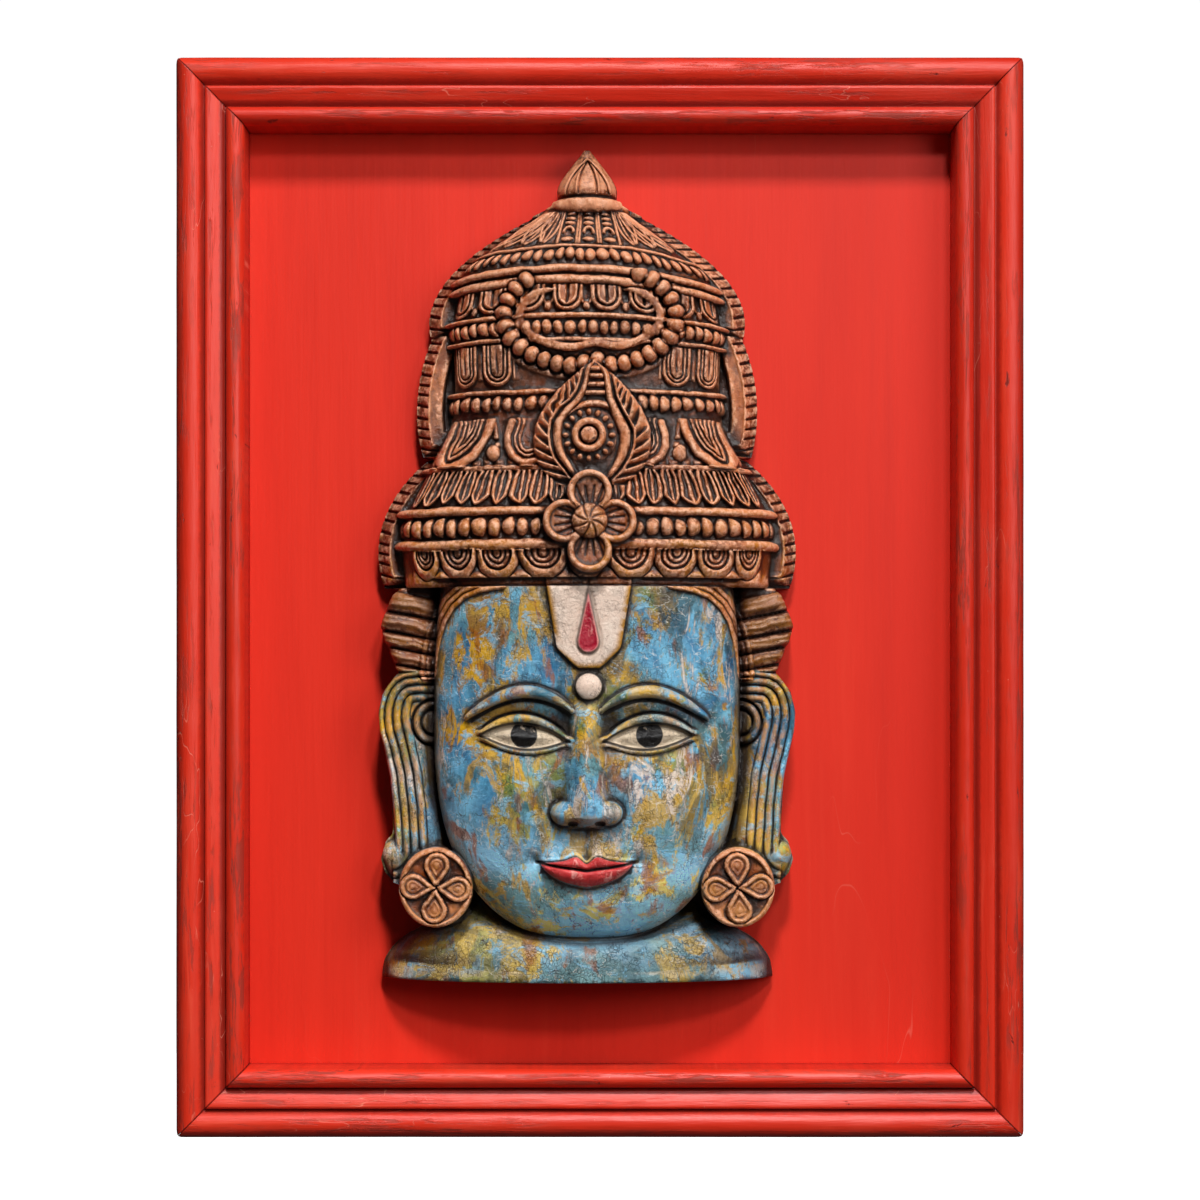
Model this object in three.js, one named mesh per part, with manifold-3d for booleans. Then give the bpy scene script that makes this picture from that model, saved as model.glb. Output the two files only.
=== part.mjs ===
// A carved and painted wooden mask of a crowned deity on a red board, in a stepped red frame.
//
// Millimetres, +Z up. X runs to the viewer's right and the front faces -Y. The origin is the middle
// of the back, the flat that lies against the wall.
//
// Each piece is drawn as a relief: x across, y up the wall and z out of it. The outermost group
// turns the relief upright.

import * as THREE from 'three';
import { mergeVertices } from 'three/addons/utils/BufferGeometryUtils.js';
import Module from 'manifold-3d';

const wasm = await Module();
wasm.setup();

// Frame and board
const FRAME_WIDTH = 620;
const FRAME_HEIGHT = 790;
const RAIL_WIDTH = 50;
const REBATE = 12;
const BOARD = 12;
const GAP = 0.3;
const CORNER_RADIUS = 5;

// Mask: where its middle line is, and the heights of its main levels
const MASK_SHIFT = -9.5;
const MASK_BACK = BOARD + GAP;
const BASE = -282;
const CHIN = -251;
const FACE_TOP = 14;
const CROWN_FOOT = 3;
const FLANGE_FRONT = 34;

// Crown: an ellipse in plan, this much deeper than the middle of its back
const CROWN_AXIS = 30;
const CROWN_DEPTH = 0.43;

// Face: thirds of equal height from hairline to chin, and a mouth a third of the way below the nose
const FACE_HALF_WIDTH = 112;
const FACE_BACK = 38;
const FACE_DEPTH = 50;
const FACE_WIDEST = -95;
const THIRD = (FACE_TOP - CHIN) / 3;
const BROW = FACE_TOP - THIRD;
const NOSE_FOOT = BROW - THIRD;
const MOUTH = NOSE_FOOT - THIRD * 0.37;
const EYE_LEVEL = BROW - THIRD * 0.3;
const EYE_WIDTH = 2 * FACE_HALF_WIDTH / 5 + 16;
const EYE_APART = 2 * FACE_HALF_WIDTH / 5;

// Colours
const RED = 0xd8321f;
const BOARD_RED = 0xdd3320;
const BLUE = 0x4f88a0;

// Solids from three.js geometries

// A closed geometry as a solid that can be joined and cut.
function solid(geometry, matrix = new THREE.Matrix4()) {
  const loose = geometry.index ? geometry.toNonIndexed() : geometry.clone();
  const bare = new THREE.BufferGeometry();
  bare.setAttribute('position', loose.getAttribute('position'));
  bare.applyMatrix4(matrix);
  const merged = mergeVertices(bare, 1e-3);
  const faces = [];
  for (let i = 0; i < merged.index.count; i += 3) {
    const [a, b, c] = merged.index.array.subarray(i, i + 3);
    if (a !== b && b !== c && c !== a) faces.push([a, b, c]);
  }
  const build = (list) => new wasm.Manifold(new wasm.Mesh({
    numProp: 3,
    vertProperties: merged.attributes.position.array,
    triVerts: Uint32Array.from(list.flat()),
  }));
  const made = build(faces);
  return made.volume() < 0 ? build(faces.map(([a, b, c]) => [a, c, b])) : made;
}

function joined(solids) {
  return solids.reduce((all, one) => all.add(one));
}

function geometryOf(made) {
  const mesh = made.getMesh();
  return new THREE.BufferGeometry()
    .setAttribute('position', new THREE.BufferAttribute(mesh.vertProperties, 3))
    .setIndex(new THREE.BufferAttribute(mesh.triVerts, 1));
}

// A closed skin over sections with equal numbers of points. flat is the section's outline in two
// numbers a point, which closes both ends.
function skin(sections, flat) {
  const count = flat.length;
  const index = [];
  for (let s = 0; s < sections.length - 1; s++) {
    for (let i = 0; i < count; i++) {
      const a = s * count + i;
      const b = s * count + (i + 1) % count;
      index.push(a, b, b + count, a, b + count, a + count);
    }
  }
  const last = (sections.length - 1) * count;
  const clockwise = THREE.ShapeUtils.isClockWise(flat);
  for (const face of THREE.ShapeUtils.triangulateShape(flat, [])) {
    const [a, b, c] = clockwise ? face.toReversed() : face;
    index.push(a, c, b, last + a, last + b, last + c);
  }
  return new THREE.BufferGeometry().setFromPoints(sections.flat()).setIndex(index);
}

// A solid through scaled copies of an outline. A level is its height and its scales about middle.
function terraced(outline, middle, levels) {
  const sections = levels.map(([z, wide, tall = wide]) => outline.map((p) => new THREE.Vector3(
    middle.x + (p.x - middle.x) * wide, middle.y + (p.y - middle.y) * tall, z,
  )));
  return skin(sections, outline);
}

// A fringe of leaves as one strip, buried along its back. Sections alternate along places: each is
// a list of points as [up, out] at its place.
function strip(places, between, crest) {
  const sections = places.map((place, i) => (i % 2 ? crest : between).map(([up, out]) => (
    new THREE.Vector3(0, up, out).applyMatrix4(place)
  )));
  return solid(skin(sections, crest.map(([up, out]) => new THREE.Vector2(up, out))));
}

// A faceted bead at a place whose z axis looks outwards. It is sunk a little past its middle.
function bead(place, radius) {
  return solid(new THREE.SphereGeometry(radius, 4, 2).rotateX(Math.PI / 2).translate(0, 0, -1), place);
}

// Half of a turned shape, flat at the back: the profile's radius is squashed by depth towards +z.
function halfTurned(profile, steps, depth) {
  const sections = [];
  for (let i = 0; i <= steps; i++) {
    const angle = Math.PI * (i / steps - 0.5);
    sections.push(profile.map(([r, y]) => (
      new THREE.Vector3(r * Math.sin(angle), y, depth * r * Math.cos(angle))
    )));
  }
  return skin(sections, profile.map(([r, y]) => new THREE.Vector2(r, y)));
}

// A rounded ridge along a path that lies nearly flat: radius(t) is its half width at share t.
function ridge(points, radius, steps = 6, sides = 4) {
  const path = new THREE.CatmullRomCurve3(points);
  const out = new THREE.Vector3(0, 0, 1);
  const ring = Array.from({ length: sides }, (_, k) => {
    const turn = Math.PI * (0.5 + 2 * k / sides);
    return new THREE.Vector2(Math.cos(turn), Math.sin(turn));
  });
  const sections = [];
  for (let i = 0; i <= steps; i++) {
    const centre = path.getPointAt(i / steps);
    const across = path.getTangentAt(i / steps).cross(out).normalize();
    const r = radius(i / steps);
    sections.push(ring.map((p) => centre.clone().addScaledVector(across, r * p.x).addScaledVector(out, r * p.y)));
  }
  return skin(sections, ring);
}

const swell = (thin, thick) => (t) => thin + (thick - thin) * Math.sin(Math.PI * t);

// A hanging petal with straight sides and a round lower end. Its top edge is at y = 0.
function petalOutline(width, height, steps = 4) {
  const r = width / 2;
  const outline = [new THREE.Vector2(r, 0), new THREE.Vector2(-r, 0)];
  for (let i = 0; i <= steps; i++) {
    const turn = Math.PI * (1 + i / steps);
    outline.push(new THREE.Vector2(r * Math.cos(turn), r - height + r * Math.sin(turn)));
  }
  return outline;
}

// A drop with a round foot at y = 0 and its point at y = height.
function dropOutline(radius, height, count) {
  const outline = [];
  for (let i = 0; i < count; i++) {
    const turn = -Math.PI / 2 + 2 * Math.PI * i / count;
    const up = (1 + Math.sin(turn)) / 2;
    outline.push(new THREE.Vector2(radius * Math.cos(turn) * (1 - 0.55 * up ** 1.5), height * up));
  }
  return outline;
}

function raised(outline, by) {
  return outline.map((p) => new THREE.Vector2(p.x, p.y + by));
}

// A petal with a sharp rim round a sunk field. A heart, where it has one, stands in the field.
function carvedPetal(width, height, thickness, matrix, heart = true) {
  const levels = [[-9, 1], [thickness, 1], [thickness - 3, 0.64, 0.72]];
  if (heart) levels.push([thickness, 0.3, 0.45]);
  return solid(terraced(petalOutline(width, height), new THREE.Vector2(0, -height / 2), levels), matrix);
}

function ball(radius, x, y, z, tall = 1, deep = 1) {
  const matrix = new THREE.Matrix4().makeTranslation(x, y, z).scale(new THREE.Vector3(1, tall, deep));
  return solid(new THREE.IcosahedronGeometry(radius, 0), matrix);
}

// A box that keeps what lies in front of the mask's back.
function inFrontOf(z, geometry) {
  return geometry.intersect(solid(
    new THREE.BoxGeometry(2 * FRAME_WIDTH, 2 * FRAME_HEIGHT, 200),
    new THREE.Matrix4().makeTranslation(0, 0, z + 100),
  ));
}

// Crown

// Mouldings of the turned crown, from the foot up: height, and half width at that height.
const CROWN_PROFILE = [
  [8, 135], [31, 137], [32, 143], [39, 143], [40, 135],
  [54.5, 135], [56, 142], [61, 142], [62.5, 134],
  [89, 118], [90, 122.5], [93, 122], [94, 114],
  [126, 101], [127, 98], [144, 98], [145, 104], [148, 104], [149, 98],
  [178, 99], [179, 104], [182, 104], [183, 100],
  [195, 101], [196, 108], [200, 108], [201, 101],
  [218, 100], [219.5, 106], [226, 106], [227, 100], [230, 103], [237, 101],
  [239, 86], [252, 79],
];
const DOME = [[250, 82], [262, 66], [273, 49], [284, 29]];
const COLLAR_FOOT = 281;
const BUD_FOOT = 291;
const TIP = 325;

// A place on the crown at arc length s and height y, as a matrix whose z axis looks outwards.
function onCrown(s, y, halfWidth, lean = 0, roll = 0) {
  const quarter = new THREE.EllipseCurve(0, 0, halfWidth, CROWN_DEPTH * halfWidth, Math.PI / 2, 0, true);
  const at = quarter.getPointAt(Math.abs(s) / quarter.getLength());
  const x = Math.sign(s) * at.x;
  return new THREE.Matrix4()
    .makeTranslation(x, y, CROWN_AXIS + at.y)
    .multiply(new THREE.Matrix4().makeRotationY(Math.atan2(CROWN_DEPTH ** 2 * x, at.y)))
    .multiply(new THREE.Matrix4().makeRotationX(lean))
    .multiply(new THREE.Matrix4().makeRotationZ(roll));
}

function crownCore() {
  const profile = CROWN_PROFILE.map(([y, r]) => [r, y]);
  const closed = [[0, profile[0][1]], ...profile, [0, profile.at(-1)[1]]];
  return solid(halfTurned(closed, 10, CROWN_DEPTH).translate(0, 0, CROWN_AXIS));
}

// Rows of beads round the crown: height, half width there, bead radius, pitch, and the arc lengths
// of the first and last bead. A row starts away from the middle where an ornament covers it.
const BEAD_ROWS = [
  { y: 47.5, halfWidth: 136, radius: 5.4, pitch: 11, first: 38.5, last: 150 },
  { y: 136.5, halfWidth: 98.5, radius: 4.9, pitch: 10, first: 40, last: 102 },
  { y: 189, halfWidth: 101, radius: 4.9, pitch: 10, first: 5, last: 107 },
  { y: 244.5, halfWidth: 83, radius: 4.7, pitch: 9.6, first: 4.8, last: 86 },
];

function beadRows() {
  return BEAD_ROWS.flatMap(({ y, halfWidth, radius, pitch, first, last }) => {
    const beads = [];
    for (let s = first; s < last; s += pitch) {
      for (const side of [-1, 1]) beads.push(bead(onCrown(side * s, y, halfWidth), radius));
    }
    return beads;
  });
}

// Equal petals at arc lengths to the right of the middle, and their mirror images.
function petalRow(places, y, halfWidth, width, height, thickness, heart) {
  const all = [...places.filter((s) => s > 0).map((s) => -s), ...places];
  return all.map((s) => carvedPetal(width, height, thickness, onCrown(s, y, halfWidth), heart));
}

// A fringe of narrow leaves round the cone above the brim, with a step every half leaf.
const FRINGE = { y: 88.5, halfWidth: 119, leaf: 13.8, leaves: 8, first: 27, lean: -0.16 };

function leafFringe() {
  const { y, halfWidth, leaf, leaves, first, lean } = FRINGE;
  const crest = [[1, -8], [1, 6], [-25, 3]];
  const between = [[1, -8], [1, 1.5], [-14, -4]];
  return [-1, 1].map((side) => {
    const places = Array.from({ length: 2 * leaves + 1 }, (_, i) => (
      onCrown(side * (first + i * leaf / 2), y, halfWidth, lean)
    ));
    return strip(places, between, crest);
  });
}

// Large slanting leaves over the cone, with a bud between each pair.
function bigLeaves() {
  const leaves = [];
  for (const side of [-1, 1]) {
    leaves.push(carvedPetal(30, 34, 6, onCrown(side * 52, 127, 101, -0.14, side * 0.12)));
    leaves.push(carvedPetal(30, 40, 7, onCrown(side * 92, 127, 101, -0.14, side * 0.45)));
    leaves.push(solid(
      new THREE.IcosahedronGeometry(6, 0),
      onCrown(side * 71, 106, 111).scale(new THREE.Vector3(0.8, 1.3, 0.9)),
    ));
  }
  return leaves;
}

// The dome at the top has flutes that run up to the collar.
function dome() {
  const flutes = 7;
  const sections = DOME.map(([y, halfWidth]) => {
    const section = [];
    for (let i = 0; i <= 2 * flutes; i++) {
      const angle = Math.PI * (i / (2 * flutes) - 0.5);
      const r = halfWidth * (i % 2 ? 1 : 0.9);
      section.push(new THREE.Vector3(r * Math.sin(angle), y, CROWN_AXIS + CROWN_DEPTH * r * Math.cos(angle)));
    }
    section.push(new THREE.Vector3(0.9 * halfWidth, y, 20), new THREE.Vector3(-0.9 * halfWidth, y, 20));
    return section;
  });
  return solid(skin(sections, sections[0].map((p) => new THREE.Vector2(p.x, p.z))));
}

function finial() {
  const profile = [
    [0, COLLAR_FOOT], [25, COLLAR_FOOT], [26.5, COLLAR_FOOT + 5], [20.5, BUD_FOOT],
    [22.5, BUD_FOOT + 4], [19.5, BUD_FOOT + 12], [12, BUD_FOOT + 22], [5.5, BUD_FOOT + 29], [0, TIP],
  ].map(([r, y]) => new THREE.Vector2(r, y));
  const place = new THREE.Matrix4().makeTranslation(0, 0, CROWN_AXIS + 2).scale(new THREE.Vector3(1, 1, 0.85));
  return inFrontOf(MASK_BACK, solid(new THREE.LatheGeometry(profile, 10), place));
}

// The flat flange behind the crown has three lobes with notched edges. Each gives its half width.
const LOBES = [
  { from: CROWN_FOOT, to: 101, teeth: 6, half: (y) => 154 * Math.sqrt(1 - ((y - 33) / 105) ** 2) },
  { from: 104, to: 192, teeth: 5, half: (y) => 125.5 * Math.sqrt(1 - ((y - 137) / 130) ** 2) },
  { from: 190, to: 284, teeth: 6, half: (y) => 116.5 * (1 - ((y - 200) / 97) ** 2) },
];

function flangeLobe({ from, to, teeth, half }) {
  const side = [];
  for (let i = 0; i <= 2 * teeth; i++) {
    const y = from + (to - from) * i / (2 * teeth);
    side.push(new THREE.Vector2(half(y) - (i % 2 ? 2.2 : 0), y));
  }
  const outline = [...side, ...side.map((p) => new THREE.Vector2(-p.x, p.y)).reverse()];
  const middle = new THREE.Vector2(0, (from + to) / 2);
  return solid(terraced(outline, middle, [[MASK_BACK, 1], [23, 1], [FLANGE_FRONT, 0.93, 0.96]]));
}

// The string of round beads that hangs on the front of the crown.
const NECKLACE = { y: 199.5, halfWidth: 62, halfHeight: 36, beads: 23, radius: 4.6, start: 140, end: 400 };

function necklace() {
  const { y, halfWidth, halfHeight, beads, radius, start, end } = NECKLACE;
  const { degToRad } = THREE.MathUtils;
  const loop = new THREE.EllipseCurve(0, y, halfWidth, halfHeight, degToRad(start), degToRad(end), false);
  return loop.getSpacedPoints(beads - 1).map((at) => {
    const front = CROWN_DEPTH * Math.sqrt(105 ** 2 - at.x ** 2);
    const place = new THREE.Matrix4()
      .makeTranslation(at.x, at.y, CROWN_AXIS + front + 2)
      .multiply(new THREE.Matrix4().makeRotationY(Math.atan2(CROWN_DEPTH ** 2 * at.x, front)));
    return bead(place, radius);
  });
}

// The flame-shaped crest: a leafy border, an inner drop and a ringed disc with studs.
const CREST = { foot: 79, height: 87, front: 86, discY: 113, studs: 10 };

function crest() {
  const { foot, height, front, discY, studs } = CREST;
  const middle = new THREE.Vector2(0, discY);
  const border = raised(dropOutline(43, height, 20), foot)
    .map((p, i) => (i % 2 ? p : p.lerp(middle, 0.09)));
  const inner = raised(dropOutline(29, height - 13, 12), foot + 6);
  const ring = [[0, 0], [15.5, 0], [14, 5.5], [10, 5.5], [8, 3], [6, 5], [0, 5]]
    .map(([r, z]) => new THREE.Vector2(r, z));
  const disc = new THREE.LatheGeometry(ring, 12).rotateX(Math.PI / 2);
  const dots = Array.from({ length: studs }, (_, i) => {
    const turn = 2 * Math.PI * i / studs;
    const place = new THREE.Matrix4().makeTranslation(19.5 * Math.cos(turn), discY + 19.5 * Math.sin(turn), front + 4);
    return solid(new THREE.OctahedronGeometry(3.2), place);
  });
  return [
    solid(terraced(border, middle, [[50, 1], [front - 3, 1], [front, 0.9]])),
    solid(terraced(inner, middle, [[50, 1], [front + 3, 1], [front + 4, 0.9], [front + 2.5, 0.84]])),
    solid(disc, new THREE.Matrix4().makeTranslation(0, discY, front + 2)),
    ...dots,
  ];
}

// The flower on the brim: four carved petals round a domed heart.
const FLOWER = { y: 53.5, front: 97 };

function flower() {
  const petals = [0, 1, 2, 3].map((k) => {
    const place = new THREE.Matrix4().makeTranslation(0, FLOWER.y, FLOWER.front)
      .multiply(new THREE.Matrix4().makeRotationZ(k * Math.PI / 2));
    const levels = [[-30, 1], [4.5, 1], [1.5, 0.66, 0.74], [4, 0.25, 0.5]];
    return solid(terraced(petalOutline(29, 36), new THREE.Vector2(0, -20), levels), place);
  });
  const heart = solid(
    new THREE.SphereGeometry(12.8, 8, 6).rotateX(Math.PI / 2),
    new THREE.Matrix4().makeTranslation(0, FLOWER.y, FLOWER.front + 2).scale(new THREE.Vector3(1, 1, 0.65)),
  );
  return [...petals, heart];
}

// Face

function bump(x, y, atX, atY, wide, tall) {
  return Math.exp(-(((x - atX) / wide) ** 2) - ((y - atY) / tall) ** 2);
}

// How far a height on the face is from its widest level: 0 there and 1 at the chin.
function faceEnd(y) {
  const down = (FACE_WIDEST - y) / (FACE_WIDEST - CHIN);
  return down > 0 ? down ** 2.4 : (-down * 0.6) ** 2.4;
}

function faceHalfWidth(y) {
  return FACE_HALF_WIDTH * Math.max(0, 1 - faceEnd(y)) ** (1 / 2.4);
}

// The height of the bare face: a rounded oval with eye hollows, cheeks, mouth and chin swelling.
function faceHeight(x, y) {
  const edge = Math.min(1, Math.abs(x / FACE_HALF_WIDTH) ** 2.4 + faceEnd(y));
  const oval = FACE_BACK + FACE_DEPTH * (1 - edge) ** 0.45;
  const swelling = 3 * bump(Math.abs(x), y, 52, NOSE_FOOT + 4, 30, 28)
    - 5 * bump(Math.abs(x), y, EYE_APART - 4, EYE_LEVEL + 8, 26, 17)
    + 6 * bump(x, y, 0, MOUTH, 34, 20)
    + 6 * bump(x, y, 0, CHIN + 22, 24, 14);
  return oval + swelling * (1 - edge);
}

function face() {
  const columns = 12;
  const rows = 14;
  const sections = [];
  for (let r = 0; r <= rows; r++) {
    const y = FACE_TOP + (CHIN - FACE_TOP) * (1 - (1 - r / rows) ** 1.35);
    const half = faceHalfWidth(y);
    const section = [new THREE.Vector3(-half, y, MASK_BACK), new THREE.Vector3(half, y, MASK_BACK)];
    for (let c = 0; c <= columns; c++) {
      const x = half * Math.sin(Math.PI * (0.5 - c / columns));
      section.push(new THREE.Vector3(x, y, faceHeight(x, y)));
    }
    sections.push(section);
  }
  return solid(skin(sections, sections[0].map((p) => new THREE.Vector2(p.x, p.z))));
}

// A point on the face, raised by out.
function onFace(x, y, out = 0) {
  return new THREE.Vector3(x, y, faceHeight(x, y) + out);
}

// Levels of the nose from the brow down: share of its length, half width, height off the face.
const NOSE = [[0, 7, 3], [0.35, 7.5, 9], [0.7, 9, 17], [0.88, 12, 23], [0.97, 12, 21], [1.04, 9, 6]];

function nose() {
  const top = BROW - 4;
  const sections = NOSE.map(([share, wide, tall]) => {
    const y = top + (NOSE_FOOT - top) * share;
    const foot = faceHeight(0, y) - 3;
    return [[-1.9, -4], [-1.1, 0.4 * tall], [-0.45, 0.93 * tall], [0.45, 0.93 * tall], [1.1, 0.4 * tall], [1.9, -4]]
      .map(([x, z]) => new THREE.Vector3(x * wide, y, foot + z));
  });
  const flat = sections[0].map((p) => new THREE.Vector2(p.x, p.z));
  const wings = [-1, 1].map((side) => ball(9.5, side * 18, NOSE_FOOT + 8, faceHeight(18, NOSE_FOOT) + 4, 0.9, 1.1));
  return [solid(skin(sections, flat)), ...wings];
}

function eyes() {
  const half = EYE_WIDTH / 2;
  return [-1, 1].flatMap((side) => {
    const along = (points) => points.map(([share, rise, out]) => (
      onFace(side * (EYE_APART + share * half), EYE_LEVEL + rise, out)
    ));
    const outline = Array.from({ length: 8 }, (_, i) => {
      const turn = Math.PI * i / 4;
      return new THREE.Vector2(side * EYE_APART + half * Math.cos(turn), EYE_LEVEL + 10 * Math.sin(turn));
    });
    const middle = new THREE.Vector2(side * EYE_APART, EYE_LEVEL);
    const inside = faceHeight(EYE_APART, EYE_LEVEL) + 3;
    const lid = along([[-1.02, -1, 0], [-0.55, 10, 1], [0, 15, 2], [0.6, 9, 1], [1.15, -2, 0]]);
    const brow = along([[-1.15, 12, 0], [-0.7, 27, 1], [0, 36, 1], [0.75, 28, 0], [1.3, 10, -1]]);
    return [
      solid(terraced(outline, middle, [[60, 1], [inside - 7, 1], [inside, 0.6]])),
      solid(ridge(lid, swell(1.4, 3.8), 5)),
      solid(ridge(brow, swell(1.4, 4.6), 5)),
    ];
  });
}

function lips() {
  const corner = 33;
  const upper = [-1, 1].map((side) => [
    onFace(0, MOUTH + 3, 1), onFace(side * 11, MOUTH + 7, 2), onFace(side * 22, MOUTH + 5, 1),
    onFace(side * corner, MOUTH + 5, 0),
  ]);
  const lower = [
    onFace(-corner + 2, MOUTH + 3, -1), onFace(-18, MOUTH - 5, 1), onFace(0, MOUTH - 8, 2),
    onFace(18, MOUTH - 5, 1), onFace(corner - 2, MOUTH + 3, -1),
  ];
  return [
    ...upper.map((points) => solid(ridge(points, (t) => 5 - 3.4 * t, 3, 4))),
    solid(ridge(lower, swell(1.6, 7.2), 5, 6)),
  ];
}

// The forehead mark: a raised shield with a drop on it and a round stud at its foot.
const MARK = { half: 28, top: 6, shoulder: -42, tip: -55, stud: -65 };

function foreheadMark() {
  const { half, top, shoulder, tip, stud } = MARK;
  const outline = [
    [-half, top], [-half + 5, shoulder + 8], [-half + 11, shoulder - 2], [-7, tip],
    [7, tip], [half - 11, shoulder - 2], [half - 5, shoulder + 8], [half, top],
  ].map(([x, y]) => new THREE.Vector2(x, y));
  const drop = raised(dropOutline(8.5, 43, 10), -42);
  const middle = new THREE.Vector2(0, -25);
  const front = faceHeight(0, -20) + 2.5;
  return [
    solid(terraced(outline, middle, [[70, 1], [front, 1], [front + 1, 0.95]])),
    solid(terraced(drop, middle, [[70, 1], [front + 3, 1], [front + 4, 0.8]])),
    ball(9.6, 0, stud, faceHeight(0, stud), 1, 0.7),
  ];
}

// Hair, ears, earrings, neck

// The side of the head from the crown down to the lobe: rolls of hair, then the long ridged ear.
// A level is its height, its outer half width, and the heights of its ridges and its grooves.
const SIDE_LEVELS = [
  [4, 140, 36, 36], [-6, 148, 47, 47], [-15, 147, 38, 38], [-24, 150, 47, 47], [-33, 146, 38, 38],
  [-42, 145, 45, 45], [-53, 139, 35, 35],
  [-61, 143, 46, 46], [-73, 149, 48, 40], [-98, 151, 47, 38], [-130, 144, 46, 38], [-168, 142, 44, 37],
  [-182, 149, 42, 37], [-196, 150, 40, 35], [-209, 140, 33, 33],
];
const SIDE_INNER = 84;
const RIDGE_PITCH = 16;

function side() {
  const sections = SIDE_LEVELS.map(([y, outer, crest, groove]) => [
    [outer, MASK_BACK], [outer, groove - 9], [outer - 5, crest],
    [outer - 0.8 * RIDGE_PITCH, groove], [outer - 1.3 * RIDGE_PITCH, crest],
    [outer - 1.8 * RIDGE_PITCH, groove], [outer - 2.3 * RIDGE_PITCH, crest],
    [SIDE_INNER, groove], [SIDE_INNER, MASK_BACK],
  ].map(([x, z]) => new THREE.Vector3(x, y, z)));
  const conch = dropOutline(13, 34, 7).map((p) => new THREE.Vector2(104 + p.x, -74 - p.y));
  return joined([
    solid(skin(sections, sections[0].map((p) => new THREE.Vector2(p.x, p.z)))),
    solid(terraced(conch, new THREE.Vector2(104, -92), [[20, 1], [50, 1], [53, 0.6]])),
  ]);
}

function sides() {
  const right = side();
  return [right, solid(geometryOf(right), new THREE.Matrix4().makeScale(-1, 1, 1))];
}

const EARRING = { x: 109.5, y: -211.5, radius: 28.5, front: 60 };

function earrings() {
  const { x, y, radius, front } = EARRING;
  return [-1, 1].flatMap((side) => {
    const centre = new THREE.Matrix4().makeTranslation(side * x, y, 0);
    const disc = new THREE.CylinderGeometry(radius - 2, radius, front - MASK_BACK, 14)
      .rotateX(Math.PI / 2)
      .translate(0, 0, (front + MASK_BACK) / 2);
    const drop = raised(dropOutline(10.5, 23, 7), -25.5);
    const levels = [[front - 4, 1], [front + 3, 1], [front + 0.3, 0.5]];
    const petals = [0, 1, 2, 3].map((k) => solid(
      terraced(drop, new THREE.Vector2(0, -16), levels),
      centre.clone().multiply(new THREE.Matrix4().makeRotationZ(k * Math.PI / 2 + side * 0.08)),
    ));
    return [solid(disc, centre), ...petals];
  });
}

function neck() {
  const profile = [
    [0, BASE], [143, BASE], [143, BASE + 6], [137, BASE + 19], [124, BASE + 31], [106, BASE + 41],
    [92, BASE + 52], [86, BASE + 70], [86, BASE + 110], [0, BASE + 110],
  ];
  return solid(halfTurned(profile, 10, 0.35).translate(-5, 0, MASK_BACK));
}

function mask() {
  const made = joined([
    ...LOBES.map(flangeLobe), crownCore(), dome(), finial(),
    ...beadRows(), ...necklace(), ...leafFringe(), ...bigLeaves(),
    ...petalRow([0, 34.5, 69, 103.5, 137], 31, 137, 32, 28, 6),
    ...petalRow([50, 74, 98], 178, 99, 20, 27, 3.5, false),
    ...petalRow([14.5, 43.5, 72.5], 218, 101, 24, 17, 3.5, false),
    ...crest(), ...flower(),
    face(), ...nose(), ...eyes(), ...lips(), ...foreheadMark(),
    ...sides(), ...earrings(), neck(),
  ]);
  const piece = named('mask', geometryOf(made), BLUE, 0.55);
  piece.position.x = MASK_SHIFT;
  return piece;
}

// Frame

// The moulding's section: distance in from the frame's outer edge, and depth out from the wall.
function mouldingSection() {
  const section = [[0, 0]];
  const arc = (atT, atD, rt, rd, from, to, steps) => {
    for (let i = 0; i <= steps; i++) {
      const turn = from + (to - from) * i / steps;
      section.push([atT - rt * Math.cos(turn), atD + rd * Math.sin(turn)]);
    }
  };
  arc(10.5, 38, 10.5, 12, 0, 2.75, 7);
  section.push([21.5, 46], [24, 47], [29, 43.5], [34.5, 40.5]);
  arc(42.5, 40.5, 7.5, 8.5, 0, 2.8, 6);
  section.push([RAIL_WIDTH, 39], [RAIL_WIDTH, BOARD + GAP]);
  section.push([RAIL_WIDTH - REBATE - GAP, BOARD + GAP], [RAIL_WIDTH - REBATE - GAP, 0]);
  return section.map(([t, d]) => new THREE.Vector2(t, d));
}

function roundedBlock() {
  const [w, h, r] = [FRAME_WIDTH / 2, FRAME_HEIGHT / 2, CORNER_RADIUS];
  const shape = new THREE.Shape();
  shape.moveTo(-w + r, -h);
  shape.lineTo(w - r, -h);
  shape.absarc(w - r, -h + r, r, -Math.PI / 2, 0, false);
  shape.lineTo(w, h - r);
  shape.absarc(w - r, h - r, r, 0, Math.PI / 2, false);
  shape.lineTo(-w + r, h);
  shape.absarc(-w + r, h - r, r, Math.PI / 2, Math.PI, false);
  shape.lineTo(-w, -h + r);
  shape.absarc(-w + r, -h + r, r, Math.PI, 1.5 * Math.PI, false);
  return solid(new THREE.ExtrudeGeometry(shape, { depth: 100, bevelEnabled: false, curveSegments: 4 }),
    new THREE.Matrix4().makeTranslation(0, 0, -10));
}

// One mitred rail: its length lies along x, with the outer edge at y = -reach.
function rail(name, length, reach, turn) {
  const section = mouldingSection();
  const end = (side) => section.map(({ x: t, y: d }) => new THREE.Vector3(
    side * (length / 2 - t - GAP / 2), t - reach, d,
  ));
  const flat = section.map(({ x: t, y: d }) => new THREE.Vector2(t, d));
  const straight = skin([end(-1), end(1)], flat);
  const made = solid(straight, new THREE.Matrix4().makeRotationZ(turn)).intersect(roundedBlock());
  return named(name, geometryOf(made), RED, 0.5);
}

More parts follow.
